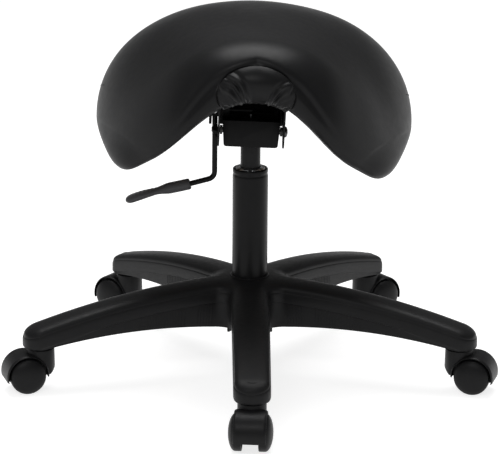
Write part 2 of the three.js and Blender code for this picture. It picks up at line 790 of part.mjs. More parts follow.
function trayOutline(inset) {
  const shape = new THREE.Shape();
  const bottom = housingBottom + inset;
  const top = housingBottom + housingHeight + (inset > 0 ? cutOverrun : 0);
  const halfAt = (z) => housingHalfWidthAt(z) - inset;
  const corner = housingCornerRadius - inset / 2;
  shape.moveTo(-halfAt(top), top);
  shape.lineTo(-halfAt(bottom + corner), bottom + corner);
  shape.quadraticCurveTo(-halfAt(bottom), bottom, -halfAt(bottom) + corner, bottom);
  shape.lineTo(halfAt(bottom) - corner, bottom);
  shape.quadraticCurveTo(halfAt(bottom), bottom, halfAt(bottom + corner), bottom + corner);
  shape.lineTo(halfAt(top), top);
  shape.closePath();
  return shape;
}

function mechHousing() {
  const outer = toSolid(alongY(trayOutline(0), -housingHalfDepth, housingHalfDepth));
  const depth = housingHalfDepth - housingWall;
  const inner = toSolid(alongY(trayOutline(housingWall), -depth, depth));
  const hole = toSolid(rod(pressureTubeRadius + fitGap + socketWall + fitGap, housingBottom - cutOverrun,
    housingBottom + cutOverrun, tubeSegments));
  const lipTop = housingBottom + housingHeight - housingLipDrop;
  const lipWide = housingLipHalfWidth;
  const notch = toSolid(block(-lipWide, lipWide, depth - cutOverrun, housingHalfDepth + cutOverrun, lipTop,
    lipTop + cutOverrun));
  const lip = toSolid(block(-lipWide, lipWide, housingHalfDepth - housingWall / 2,
    housingHalfDepth + housingLipReach, lipTop - housingWall, lipTop));
  return toGeometry(outer.subtract(inner).subtract(hole).subtract(pivotHole()).subtract(notch).add(lip));
}

// The hole for the pivot's bolt, through the housing and both flanges.
function pivotHole() {
  const reach = flangeOuterX + cutOverrun;
  return toSolid(rod(bore(pivotBoltRadius, smallSegments), -reach, reach, smallSegments).rotateY(Math.PI / 2)
    .translate(0, pivotY, pivotHeight));
}

// The seat plate is a bent channel: a flat web with a flange at each side, each with an ear for the pivot,
// and a cross wall behind the housing.
function seatPlate() {
  const bottom = pivotHeight - flangeEar;
  const bend = plateBendRadius;
  const under = plateTopHeight - plateThickness;
  const outline = new THREE.Shape();
  outline.moveTo(-flangeOuterX, bottom);
  outline.lineTo(-flangeOuterX, plateTopHeight - bend);
  outline.quadraticCurveTo(-flangeOuterX, plateTopHeight, -flangeOuterX + bend, plateTopHeight);
  outline.lineTo(flangeOuterX - bend, plateTopHeight);
  outline.quadraticCurveTo(flangeOuterX, plateTopHeight, flangeOuterX, plateTopHeight - bend);
  outline.lineTo(flangeOuterX, bottom);
  outline.lineTo(flangeInnerX, bottom);
  outline.lineTo(flangeInnerX, plateTopHeight - bend);
  outline.quadraticCurveTo(flangeInnerX, under, flangeOuterX - bend, under);
  outline.lineTo(-flangeOuterX + bend, under);
  outline.quadraticCurveTo(-flangeInnerX, under, -flangeInnerX, plateTopHeight - bend);
  outline.lineTo(-flangeInnerX, bottom);
  outline.closePath();
  const front = plateCentreY - plateHalfLength;
  const back = plateCentreY + plateHalfLength;
  const channel = toSolid(alongY(outline, front, back));
  const lip = plateTopHeight - 2 * bend;
  const low = plateTopHeight - cutOverrun;
  const high = plateTopHeight + cutOverrun;
  const wide = flangeOuterX + cutOverrun;
  const wallFront = housingHalfDepth + plateWallRoom;
  const wallBack = wallFront + plateThickness;
  const wallBottom = pivotHeight - plateWallFall;
  const wallWide = flangeInnerX + plateThickness / 2;
  const wall = toSolid(block(-wallWide, wallWide, wallFront, wallBack, wallBottom,
    plateTopHeight - plateThickness / 2));
  const side = new THREE.Shape();
  side.moveTo(front - cutOverrun, high);
  side.lineTo(front - cutOverrun, lip);
  side.lineTo(pivotY - flangeTopHalfLength, lip);
  side.lineTo(pivotY - flangeEar, pivotHeight);
  side.absarc(pivotY, pivotHeight, flangeEar, Math.PI, 2 * Math.PI, false);
  side.lineTo(wallBack, wallBottom);
  side.lineTo(wallBack, lip);
  side.lineTo(back + cutOverrun, lip);
  side.lineTo(back + cutOverrun, high);
  side.closePath();
  const keep = toSolid(alongX(side, -wide, wide));
  const window = toSolid(block(-wide, -flangeInnerX + cutOverrun, -windowHalfLength, windowHalfLength,
    windowBottom, windowTop));
  const screwHoles = screwPlaces.map(([, x, y]) => toSolid(rod(screwRadius + fitGap, low, high, smallSegments)
    .translate(x + seatOffsetX, y, 0)));
  const holes = addAll([pivotHole(), window, ...screwHoles]);
  return toGeometry(channel.intersect(keep).add(wall).subtract(holes));
}

function pivotBolt() {
  const shoulder = flangeOuterX + fitGap;
  const tail = -shoulder - pivotNutThickness - fitGap - pivotBoltTail;
  const head = pivotHeadRadius;
  return revolve([[0, tail], [pivotBoltRadius, tail], [pivotBoltRadius, shoulder], [head, shoulder],
    [head, shoulder + pivotHeadHeight / 3],
    [head * Math.SQRT1_2, shoulder + pivotHeadHeight * domeShoulderShare],
    [0, shoulder + pivotHeadHeight]], smallSegments).rotateY(Math.PI / 2);
}

function pivotNut() {
  const outer = pivotNutFlat / Math.cos(Math.PI / 6);
  const hexagon = new THREE.Shape([...Array(6).keys()].map((i) => new THREE.Vector2(
    outer * Math.cos(i * Math.PI / 3), outer * Math.sin(i * Math.PI / 3))));
  hexagon.holes.push(new THREE.Path().absarc(0, 0, pivotBoltRadius + fitGap, 0, 2 * Math.PI, true));
  const start = -flangeOuterX - fitGap - pivotNutThickness;
  return alongX(hexagon, start, start + pivotNutThickness);
}

// The pale spacer between a flange and the housing's sloping wall.
function pivotSpacer(side) {
  const wall = housingHalfWidthAt(pivotHeight + pivotSpacerRadius) + fitGap;
  const hole = bore(pivotBoltRadius, smallSegments);
  const geometry = ring(hole, pivotSpacerRadius, wall, flangeInnerX - fitGap, smallSegments);
  return geometry.rotateY(side * Math.PI / 2);
}

// Lift lever, in the plane Y = 0
function roundedPath(corners, radius, steps) {
  const path = [corners[0]];
  for (let i = 1; i + 1 < corners.length; i += 1) {
    const [before, at, after] = [corners[i - 1], corners[i], corners[i + 1]];
    const back = before.clone().sub(at).normalize();
    const on = after.clone().sub(at).normalize();
    const reach = radius / Math.tan(back.angleTo(on) / 2);
    const curve = new THREE.QuadraticBezierCurve(at.clone().addScaledVector(back, reach), at,
      at.clone().addScaledVector(on, reach));
    path.push(...curve.getPoints(steps));
  }
  path.push(corners[corners.length - 1]);
  return path;
}

function flatSweep(path, sides, sizeAt) {
  const rings = path.map((at, i) => {
    const ahead = path[Math.min(i + 1, path.length - 1)];
    const behind = path[Math.max(i - 1, 0)];
    const along = ahead.clone().sub(behind).normalize();
    const { half, wide } = sizeAt(i / (path.length - 1));
    return [...Array(sides).keys()].map((k) => {
      const a = (k / sides) * 2 * Math.PI;
      const up = half * Math.sin(a);
      return new THREE.Vector3(at.x - along.y * up, wide * Math.cos(a), at.y + along.x * up);
    });
  });
  const end = (at) => new THREE.Vector3(at.x, 0, at.y);
  return skin(rings, end(path[0]), end(path[path.length - 1]));
}

const gripDirection = new THREE.Vector2(-Math.cos(leverFall), -Math.sin(leverFall));
const gripOrigin = new THREE.Vector2(leverCornerX, leverDropHeight)
  .addScaledVector(gripDirection, leverGripStart);

function liftLever() {
  const corners = [new THREE.Vector2(leverInnerEnd, leverPivotHeight),
    new THREE.Vector2(leverRodX, leverPivotHeight), new THREE.Vector2(leverCornerX, leverDropHeight),
    gripOrigin.clone().addScaledVector(gripDirection, leverRodInGrip)];
  const path = roundedPath(corners, leverBendRadius, leverBendSteps);
  const size = { half: leverRodRadius, wide: leverRodRadius };
  const bar = toSolid(flatSweep(path, rodSides, () => size));
  const eye = toSolid(rod(leverEyeRadius, -leverEyeHalfLength, leverEyeHalfLength, smallSegments)
    .rotateX(Math.PI / 2).translate(leverRodX, 0, leverPivotHeight));
  const hole = toSolid(rod(bore(leverPinRadius, smallSegments), -leverEyeRadius * 2, leverEyeRadius * 2,
    smallSegments).rotateX(Math.PI / 2).translate(leverRodX, 0, leverPivotHeight));
  return toGeometry(bar.add(eye).subtract(hole));
}

function leverGrip() {
  const stations = gripStationShares;
  const sizeAt = (s) => {
    const blade = THREE.MathUtils.smoothstep(s, gripBladeStartShare, gripBladeFullShare);
    const past = Math.max(s - gripEndRoundShare, 0) / (1 - gripEndRoundShare);
    const endRound = Math.sqrt(Math.max(1 - past * past, gripEndShare * gripEndShare));
    const round = s === 0 ? gripStartShare : endRound;
    return {
      half: THREE.MathUtils.lerp(gripBossRadius, gripBladeHalfThickness, blade) * round,
      wide: THREE.MathUtils.lerp(gripBossRadius, gripBladeHalfWidth, blade) * round,
    };
  };
  const normal = new THREE.Vector2(-gripDirection.y, gripDirection.x);
  const sagAt = (s) => (s > gripBladeStartShare ? gripBladeSag * Math.sin(2 * Math.PI * s) : 0);
  const path = stations.map((s) => gripOrigin.clone().addScaledVector(gripDirection, s * gripLength)
    .addScaledVector(normal, sagAt(s)));
  const stationAt = (s) => stations[Math.round(s * (stations.length - 1))];
  const body = toSolid(flatSweep(path, gripSides, (s) => sizeAt(stationAt(s))));
  const reach = leverRodInGrip + fitGap;
  const boreFrom = gripOrigin.clone().addScaledVector(gripDirection, -cutOverrun);
  const boreTo = gripOrigin.clone().addScaledVector(gripDirection, reach);
  const boreSize = { half: leverRodRadius + fitGap, wide: leverRodRadius + fitGap };
  const hole = toSolid(flatSweep([boreFrom, boreTo], rodSides, () => boreSize));
  return toGeometry(body.subtract(hole));
}

// Two ears over the housing's left wall carry the lever's pin. Each has an outer tab that hangs down.
function leverBracket() {
  const wallX = -housingHalfWidthAt(housingBottom + housingHeight);
  const earIn = wallX + housingWall + leverEarFoot;
  const low = housingBottom + housingHeight + fitGap;
  const y0 = leverEyeHalfLength + fitGap;
  const y1 = y0 + leverEarThickness;
  const chamfer = leverEarThickness;
  const top = leverPivotHeight + leverEarRise;
  const tabIn = leverEarTabX + leverEarTabWidth;
  const tabBottom = leverPivotHeight - leverEarTabDrop;
  const bridge = leverPivotHeight - leverEarBridgeDrop;
  const ear = [[earIn, low], [earIn, top - chamfer], [earIn - chamfer, top], [leverEarTabX + chamfer, top],
    [leverEarTabX, top - chamfer], [leverEarTabX, tabBottom], [tabIn, tabBottom], [tabIn, bridge],
    [wallX, bridge + fitGap], [wallX, low]];
  const plates = [toSolid(alongY(ear, y0, y1)), toSolid(alongY(ear, -y1, -y0))];
  const strap = toSolid(block(wallX, earIn, -y1, y1, low, low + leverEarThickness / 2));
  const hole = toSolid(rod(bore(leverPinRadius, smallSegments), -2 * y1, 2 * y1, smallSegments)
    .rotateX(Math.PI / 2).translate(leverRodX, 0, leverPivotHeight));
  return toGeometry(addAll([...plates, strap]).subtract(hole));
}

function leverPin() {
  const reach = leverEyeHalfLength + leverEarThickness + 2 * fitGap;
  const end = reach + leverPinHead;
  return revolve([[0, -end], [leverPinHeadRadius, -end], [leverPinHeadRadius, -reach],
    [leverPinRadius, -reach], [leverPinRadius, reach], [leverPinRadius - fitGap, end], [0, end]],
  smallSegments).rotateX(-Math.PI / 2);
}

// Saddle: a front and a rear arch, each half a cubic curve from the crest to the lobe's tip
function archPoint(height, reach, handle, angle, share) {
  const tip = new THREE.Vector2(saddleTipX, saddleTipHeight);
  const curve = new THREE.CubicBezierCurve(new THREE.Vector2(0, height), new THREE.Vector2(reach, height),
    new THREE.Vector2(tip.x - handle * Math.sin(angle), tip.y + handle * Math.cos(angle)), tip);
  const half = Math.abs(share);
  const at = curve.getPoint(half);
  const along = curve.getTangent(half);
  const side = Math.sign(share) || 1;
  return { at: new THREE.Vector2(at.x * side, at.y), along: new THREE.Vector2(along.x, along.y * side) };
}

// The frame of the seat at p, from -1 at the left lobe's tip to 1 at the right's: its arches and its limits.
function saddleFrame(p) {
  const s = Math.min(Math.abs(p), 1);
  const plan = Math.max(1 - s ** saddlePlanShape, 0) ** (1 / saddlePlanShape);
  return {
    front: archPoint(saddleFrontHeight, saddleFrontReach, saddleFrontTipHandle, saddleFrontTipAngle, p),
    rear: archPoint(saddleRearHeight, saddleRearReach, saddleRearTipHandle, saddleRearTipAngle, p),
    frontY: -saddleFrontDepth * plan,
    rearY: saddleRearDepth * plan,
    thick: Math.max(1 - s ** saddleThicknessShape, 0) ** (1 / saddleThicknessShape),
  };
}

// A point of the seat: t goes from the front edge to the rear, and n is the height over the middle surface,
// as a share of half the thickness plus a length.
function saddlePoint(p, t, nShare, nLength = 0) {
  const frame = saddleFrame(p);
  const at = frame.front.at.clone().lerp(frame.rear.at, t);
  const along = frame.front.along.clone().lerp(frame.rear.along, t).normalize();
  const thickness = frame.thick * THREE.MathUtils.lerp(saddleFrontThickness, saddleRearThickness, t);
  const n = nShare * thickness / 2 + nLength;
  const y = THREE.MathUtils.lerp(frame.frontY, frame.rearY, t);
  return new THREE.Vector3(seatOffsetX + at.x - along.y * n, y, at.y + along.x * n);
}

const superPower = (value) => Math.sign(value) * Math.abs(value) ** saddleEdgeShape;

// A point on the seat's skin, at the angle a round its section. The seam draws the skin in.
function skinPoint(p, a) {
  const dip = seamDepth * Math.exp(-(((a - seamPlace) / seamWidth) ** 2)) * Math.cos(p * Math.PI / 2);
  return saddlePoint(p, 0.5 + superPower(Math.cos(a)) / 2, superPower(Math.sin(a)), -dip);
}

function skinNormal(p, a) {
  const dp = skinPoint(p + normalStep, a).sub(skinPoint(p - normalStep, a));
  const da = skinPoint(p, a + normalStep).sub(skinPoint(p, a - normalStep));
  return dp.cross(da).normalize().negate();
}

// A closed patch of the seat between two shares of p and of t, from the lower surface to the upper.
function saddlePatch(tip, front, rear, low, high) {
  const points = [];
  for (const [share, length] of [low, high]) {
    for (let i = 0; i <= panSteps; i += 1) {
      const p = THREE.MathUtils.lerp(-tip, tip, i / panSteps);
      for (let j = 0; j <= panCrossSteps; j += 1) {
        points.push(saddlePoint(p, THREE.MathUtils.lerp(front, rear, j / panCrossSteps), share, length));
      }
    }
  }
  return closed(points, sheetIndex(panSteps, panCrossSteps));
}

// The triangles of a closed sheet of two layers, each a grid of rows by columns.
function sheetIndex(rows, columns) {
  const layer = (rows + 1) * (columns + 1);
  const at = (k, i, j) => k * layer + i * (columns + 1) + j;
  const index = [];
  for (let i = 0; i < rows; i += 1) {
    for (let j = 0; j < columns; j += 1) {
      index.push(at(0, i, j), at(0, i, j + 1), at(0, i + 1, j));
      index.push(at(0, i + 1, j), at(0, i, j + 1), at(0, i + 1, j + 1));
      index.push(at(1, i, j), at(1, i + 1, j), at(1, i, j + 1));
      index.push(at(1, i + 1, j), at(1, i + 1, j + 1), at(1, i, j + 1));
    }
  }
  const wall = (a, b, c, d) => index.push(a, b, c, b, d, c);
  for (let i = 0; i < rows; i += 1) {
    wall(at(0, i, 0), at(0, i + 1, 0), at(1, i, 0), at(1, i + 1, 0));
    wall(at(0, i + 1, columns), at(0, i, columns), at(1, i + 1, columns), at(1, i, columns));
  }
  for (let j = 0; j < columns; j += 1) {
    wall(at(0, 0, j + 1), at(0, 0, j), at(1, 0, j + 1), at(1, 0, j));
    wall(at(0, rows, j), at(0, rows, j + 1), at(1, rows, j), at(1, rows, j + 1));
  }
  return index;
}

const panLow = [-1, panSetback];
const panHigh = [-1, panSetback + panThickness];

function seatPan() {
  const shell = toSolid(saddlePatch(panTipShare, panFrontShare, panRearShare, panLow, panHigh));
  const over = toSolid(saddlePatch(panTipShare, panFrontShare, panRearShare,
    [-1, panSetback + panThickness / 2], [-1, panSetback + panThickness + saddleRearThickness]));
  const pads = screwPlaces.map(([, x, y]) => toSolid(block(x + seatOffsetX - panPadHalfWidth,
    x + seatOffsetX + panPadHalfWidth, y - panPadHalfWidth, y + panPadHalfWidth, plateTopHeight + fitGap,
    saddleRearHeight)).subtract(over));
  const holes = screwPlaces.map(([, x, y]) => toSolid(rod(screwRadius + fitGap, plateTopHeight,
    plateTopHeight + screwReach + fitGap, smallSegments).translate(x + seatOffsetX, y, 0)));
  return toGeometry(addAll([shell, ...pads]).subtract(addAll(holes)));
}

function seatCushion() {
  const turns = [...Array(saddleRingSteps).keys()].map((k) => (k / saddleRingSteps) * 2 * Math.PI);
  const rings = [];
  for (let i = 1; i < saddleSteps; i += 1) {
    const p = -Math.cos((i / saddleSteps) * Math.PI);
    rings.push(turns.map((a) => skinPoint(p, a)));
  }
  const body = toSolid(skin(rings, skinPoint(-1, 0), skinPoint(1, 0)));
  const room = 2 * fitGap / saddleRearDepth;
  const recess = toSolid(saddlePatch(panTipShare + panTipRoomShare, panFrontShare - room, panRearShare + room,
    [-1, -cutOverrun], [-1, panSetback + panThickness + panRoom]));
  return toGeometry(body.subtract(recess).subtract(toSolid(gussetPatch(fitGap))));
}

// The pleated piece that closes the arch at the front, let a little into the seat's skin. Its cut in the
// cushion is the same patch, grown by a gap.
function gussetPatch(grow) {
  const points = [];
  const wider = 1 + 2 * grow / saddleTipX;
  const turn = 2 * grow / saddleFrontThickness;
  for (const outer of [false, true]) {
    for (let i = 0; i <= gussetSteps; i += 1) {
      const share = 2 * i / gussetSteps - 1;
      const p = share * gussetHalfShare * wider;
      const low = gussetBottomAngle + turn;
      const top = gussetTopAngle + (gussetBottomAngle - gussetTopAngle) * share * share / 2 - turn;
      for (let j = 0; j <= gussetCrossSteps; j += 1) {
        const down = j / gussetCrossSteps;
        const a = THREE.MathUtils.lerp(top, low, down);
        const edge = Math.sin(Math.PI * THREE.MathUtils.clamp(down, gussetEdgeShare, 1 - gussetEdgeShare));
        const pleat = gussetPleat * Math.cos(share * Math.PI * gussetPleatCount) * down;
        const full = grow > 0 ? gussetThickness + cutOverrun : gussetPleat + (gussetThickness + pleat) * edge;
        const lift = outer ? full : -gussetInset - grow;
        points.push(skinPoint(p, a).addScaledVector(skinNormal(p, a), lift));
      }
    }
  }
  return closed(points, sheetIndex(gussetSteps, gussetCrossSteps));
}

function seatScrew() {
  const head = plateTopHeight - plateThickness - fitGap;
  const low = head - screwHeadHeight;
  const top = plateTopHeight + screwReach;
  const flat = screwHeadRadius * Math.SQRT1_2;
  return revolve([[0, low], [flat, low], [screwHeadRadius, low + screwHeadHeight / 2],
    [screwHeadRadius, head], [screwRadius, head], [screwRadius, top], [0, top]], smallSegments);
}

// The stool
const stool = new THREE.Group();

// The base stands turned a little from the seat's front.
const turnedBase = new THREE.Group();
turnedBase.rotation.z = baseTurn;
turnedBase.add(piece('star_base', starBase(), nylon));
stool.add(turnedBase);

stool.add(
  piece('hub_ring', hubRing(), blackSteel),
  piece('stand_tube', standTube(), blackSteel),
  piece('tube_bushing', tubeBushing(), paleNylon),
  piece('guide_ring', guideRing(), brightSteel),
  piece('thrust_washer_lower', washer(bearingStack.lower), brightSteel),
  piece('thrust_bearing', thrustBearing(), brightSteel),
  piece('thrust_washer_upper', washer(bearingStack.upper), brightSteel),
  piece('rubber_bumper', rubberBumper(), rubberBlack),
  piece('piston_rod', pistonRod(), brightSteel),
  piece('piston', piston(), brightSteel),
  piece('rod_clip', rodClip(), brightSteel),
  piece('rod_guide', rodGuide(), rubberBlack),
  piece('pressure_tube', pressureTube(), blackSteel),
  piece('valve_button', valveButton(), brightSteel),
  piece('taper_socket', taperSocket(), blackSteel),
);

// The mechanism and the seat lean a little to the right on the lift's taper.
const leaning = new THREE.Group();
leaning.position.z = leanHeight;
leaning.rotation.y = seatLean;
const upper = new THREE.Group();
upper.position.z = -leanHeight;
leaning.add(upper);
stool.add(leaning);

upper.add(
  piece('mech_housing', mechHousing(), blackSteel),
  piece('lever_bracket', leverBracket(), blackSteel),
  piece('lift_lever', liftLever(), blackSteel),
  piece('lever_grip', leverGrip(), nylon),
  piece('seat_plate', seatPlate(), blackSteel),
  piece('seat_pan', seatPan(), plywood),
  piece('seat_cushion', seatCushion(), vinyl),
  piece('front_gusset', gussetPatch(0), vinyl),
);

const pin = piece('lever_pin', leverPin(), brightSteel);
pin.position.set(leverRodX, 0, leverPivotHeight);
upper.add(pin);

const pivot = new THREE.Group();
pivot.position.set(0, pivotY, pivotHeight);
pivot.add(
  piece('pivot_bolt', pivotBolt(), brightSteel),
  piece('pivot_nut', pivotNut(), blackSteel),
  piece('pivot_spacer_left', pivotSpacer(-1), paleNylon),
  piece('pivot_spacer_right', pivotSpacer(1), paleNylon),
);
upper.add(pivot);

for (const [place, x, y] of screwPlaces) {
  const screw = piece(`seat_screw_${place}`, seatScrew(), brightSteel);
  screw.position.set(x + seatOffsetX, y, 0);
  upper.add(screw);
}

// Each caster trails outwards along its arm. The front one and the two at the rear have turned a little.
const casterNames = ['front', 'right', 'rear_right', 'rear_left', 'left'];
const casterTurns = [-frontCasterTurn, 0, -rearCasterTurn, rearCasterTurn, 0];
casterNames.forEach((place, i) => {
  const arm = -Math.PI / 2 + i * 2 * Math.PI / casterCount;
  const caster = new THREE.Group();
  caster.position.set(stemCircleRadius * Math.cos(arm), stemCircleRadius * Math.sin(arm), 0);
  caster.rotation.z = arm + casterTurns[i];
  const stem = piece(`stem_${place}`, casterStem(), brightSteel);
  const hood = piece(`hood_${place}`, casterHood(), nylon);
  const axle = piece(`axle_${place}`, casterAxle(), brightSteel);
  const wheelA = piece(`wheel_a_${place}`, casterWheel(1), nylon);
  const wheelB = piece(`wheel_b_${place}`, casterWheel(-1), nylon);
  for (const turning of [axle, wheelA, wheelB]) {
    turning.position.set(casterTrail, 0, wheelRadius);
  }
  caster.add(stem, hood, axle, wheelA, wheelB);
  turnedBase.add(caster);
});

export default stool;
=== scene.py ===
# Saddle stool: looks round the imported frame. Lengths in the dictionaries are millimetres where no
# note gives another unit.

import math

import bmesh
import bpy
import numpy as np
from mathutils import Matrix


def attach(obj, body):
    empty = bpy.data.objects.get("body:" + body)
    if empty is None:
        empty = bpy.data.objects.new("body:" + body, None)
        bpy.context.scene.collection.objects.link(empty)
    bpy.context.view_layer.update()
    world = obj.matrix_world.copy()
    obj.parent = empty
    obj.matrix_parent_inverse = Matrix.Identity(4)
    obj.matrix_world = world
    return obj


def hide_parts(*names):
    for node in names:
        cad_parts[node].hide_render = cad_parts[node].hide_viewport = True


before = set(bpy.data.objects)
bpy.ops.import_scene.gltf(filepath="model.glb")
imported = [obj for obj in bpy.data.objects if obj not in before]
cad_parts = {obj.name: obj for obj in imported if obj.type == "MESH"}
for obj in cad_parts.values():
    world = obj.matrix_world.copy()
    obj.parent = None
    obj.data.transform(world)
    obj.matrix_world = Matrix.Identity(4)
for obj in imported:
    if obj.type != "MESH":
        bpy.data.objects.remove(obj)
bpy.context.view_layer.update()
scene = bpy.context.scene
mm = 0.001
print("frame loaded")


# Camera and stage

cameraFacts = {
    "sensor": 36,
    "focalPixels": 2443.5,  # of a picture 500 pixels wide
    "pictureWidth": 500,
    "place": (0, -3304.3, 1185.4),
    "pitch": 0.288,  # radians below level
    "roll": 0.007,
    "clipEnd": 100,  # metres
}

lens = bpy.data.cameras.new("photoCamera")
lens.sensor_width = cameraFacts["sensor"]
lens.lens = cameraFacts["sensor"] * cameraFacts["focalPixels"] / cameraFacts["pictureWidth"]
lens.clip_end = cameraFacts["clipEnd"]
cameraObject = bpy.data.objects.new("photoCamera", lens)
cameraObject.location = [v * mm for v in cameraFacts["place"]]
aim = (Matrix.Rotation(math.pi / 2 - cameraFacts["pitch"], 3, "X")
       @ Matrix.Rotation(cameraFacts["roll"], 3, "Z"))
cameraObject.rotation_euler = aim.to_euler()
scene.collection.objects.link(cameraObject)
scene.camera = cameraObject
scene.view_settings.view_transform = "Standard"


# Materials

noiseSpan = (0.3, 0.7)  # between these lie most of a noise's values


class Nodes:
    # short hands for one material's node tree
    def __init__(self, name):
        self.material = bpy.data.materials.new(name)
        self.material.use_nodes = True
        self.tree = self.material.node_tree
        self.tree.nodes.clear()
        self.out = self.add("ShaderNodeOutputMaterial")
        self.place = self.add("ShaderNodeTexCoord").outputs["Object"]

    def add(self, kind, **settings):
        node = self.tree.nodes.new(kind)
        for key, value in settings.items():
            if key in node.inputs.keys():
                node.inputs[key].default_value = value
            else:
                setattr(node, key, value)
        return node

    def link(self, source, target):
        self.tree.links.new(source, target)

    def noise(self, scale, detail, stretch=None):
        node = self.add("ShaderNodeTexNoise", Scale=scale, Detail=detail)
        self.link(self.stretched(stretch), node.inputs["Vector"])
        return node.outputs["Fac"]

    def cells(self, scale):
        node = self.add("ShaderNodeTexVoronoi", Scale=scale, feature="SMOOTH_F1")
        self.link(self.place, node.inputs["Vector"])
        return node.outputs["Distance"]

    def stretched(self, stretch):
        if stretch is None:
            return self.place
        mapping = self.add("ShaderNodeMapping", Scale=stretch)
        self.link(self.place, mapping.inputs["Vector"])
        return mapping.outputs["Vector"]

    def ranged(self, value, low, high):
        ends = dict(zip(("From Min", "From Max", "To Min", "To Max"), (*noiseSpan, low, high)))
        node = self.add("ShaderNodeMapRange", **ends)
        self.link(value, node.inputs["Value"])
        return node.outputs["Result"]

    def mixed(self, value, dark, pale, span=noiseSpan):
        ramp = self.add("ShaderNodeValToRGB")
        for stop, position, color in zip(ramp.color_ramp.elements, span, (dark, pale)):
            stop.position = position
            stop.color = (*color, 1)
        self.link(value, ramp.inputs["Fac"])
        return ramp.outputs["Color"]

    def bumps(self, layers):
        # each layer is (height, strength, distance in metres), laid one over the other
        normal = None
        for height, strength, distance in layers:
            node = self.add("ShaderNodeBump", Strength=strength, Distance=distance)
            self.link(height, node.inputs["Height"])
            if normal is not None:
                self.link(normal, node.inputs["Normal"])
            normal = node.outputs["Normal"]
        return normal

    def finish(self, color, roughness, normal, **sockets):
        shader = self.add("ShaderNodeBsdfPrincipled")
        self.link(color, shader.inputs["Base Color"])
        self.link(roughness, shader.inputs["Roughness"])
        self.link(normal, shader.inputs["Normal"])
        for key, value in sockets.items():
            shader.inputs[key].default_value = value
        self.link(shader.outputs["BSDF"], self.out.inputs["Surface"])
        return self.material


finishFacts = {
    # noises are (scale to the metre, detail, stretch), bumps (strength, depth in metres)
    "seatVinyl": {
        "cells": {"grain": 620},
        "noises": {"pores": (2600, 1.0), "creases": (95, 4.0), "patches": (11, 3.0)},
        "color": "patches",
        "rough": "creases",
        "bumps": {"creases": (0.04, 0.0010), "grain": (0.34, 0.00012), "pores": (0.10, 0.00004)},
        "sockets": {"Specular IOR Level": 0.14},
    },
    "mouldedNylon": {
        "noises": {"flow": (14, 3.0), "scuffs": (160, 5.0, (1.0, 1.0, 3.0))},
        "color": "flow",
        "rough": "scuffs",
        "bumps": {"flow": (0.05, 0.003), "grain": (0.30, 0.00011), "scuffs": (0.06, 0.0002)},
        "sockets": {"Specular IOR Level": 0.16},
    },
    # a fine orange peel over a faintly clouded colour
    "powderCoat": {
        "noises": {"peel": (520, 2.0), "cloud": (22, 3.0), "rubs": (210, 5.0, (1.0, 1.0, 0.25))},
        "color": "cloud",
        "rough": "rubs",
        "bumps": {"peel": (0.22, 0.00012), "rubs": (0.05, 0.0001)},
        "sockets": {"Specular IOR Level": 0.12},
    },
    "bareSteel": {
        "noises": {"brush": (900, 3.0, (1.0, 1.0, 0.06)), "stain": (60, 4.0)},
        "color": "stain",
        "rough": "brush",
        "bumps": {"brush": (0.12, 0.00006)},
        "sockets": {"Metallic": 1.0},
    },
    "paleNylon": {
        "noises": {"flow": (90, 3.0), "grain": (1500, 2.0)},
        "color": "flow",
        "rough": "grain",
        "bumps": {"grain": (0.2, 0.00008)},
        "sockets": {"IOR": 1.5},
    },
    "blackRubber": {
        "noises": {"bloom": (70, 4.0), "grain": (1300, 2.0)},
        "color": "bloom",
        "rough": "bloom",
        "bumps": {"grain": (0.3, 0.0001)},
        "sockets": {"IOR": 1.5},
    },
    # growth rings and short pores, both drawn out along X
    "seatPlywood": {
        "noises": {"rings": (60, 3.0, (0.12, 1.0, 1.0)), "pores": (900, 2.0, (0.03, 1.0, 1.0))},
        "color": "rings",
        "rough": "pores",
        "bumps": {"pores": (0.3, 0.0002), "rings": (0.1, 0.0003)},
        "sockets": {"IOR": 1.5},
    },
}

nylonFacts = {
    "dark": (0.0100, 0.0100, 0.0105),
    "pale": (0.0140, 0.0140, 0.0146),
    "rough": (0.40, 0.50),
    "grainDetail": 2.0,
}

threadFacts = {
    "scale": 900,  # waves to the metre
    "distortion": 0.5,
    "span": (0.2, 0.8),
    "rough": (0.45, 0.6),
    "bump": (0.3, 0.0001),
    "shine": 0.1,
}


def layeredFinish(name, kind, dark, pale, rough, grain=None):
    # colour and roughness each follow one noise of the finish, and its bumps lie one over the other
    look = finishFacts[kind]
    n = Nodes(name)
    fields = {key: n.cells(scale) for key, scale in look.get("cells", {}).items()}
    if grain:
        fields["grain"] = n.noise(*grain)
    for key, settings in look["noises"].items():
        fields[key] = n.noise(*settings)
    color = n.mixed(fields[look["color"]], dark, pale)
    roughness = n.ranged(fields[look["rough"]], *rough)
    normal = n.bumps([(fields[key], *bump) for key, bump in look["bumps"].items()])
    return n.finish(color, roughness, normal, **look["sockets"])


def mouldedNylon(lift, grainScale, roughShift):
    # the settings of one of the nylons, its colour lifted and its roughness shifted
    f = nylonFacts
    dark, pale = ([v * lift for v in f[key]] for key in ("dark", "pale"))
    rough = [v + roughShift for v in f["rough"]]
    return "mouldedNylon", dark, pale, rough, (grainScale, f["grainDetail"])


def twistedThread(name, dark, pale):
    f = threadFacts
    n = Nodes(name)
    wave = n.add("ShaderNodeTexWave", Scale=f["scale"], Distortion=f["distortion"])
    n.link(n.place, wave.inputs["Vector"])
    twist = wave.outputs["Fac"]
    color = n.mixed(twist, dark, pale, f["span"])
    rough = n.ranged(twist, *f["rough"])
    normal = n.bumps([(twist, *f["bump"])])
    return n.finish(color, rough, normal, **{"Specular IOR Level": f["shine"]})


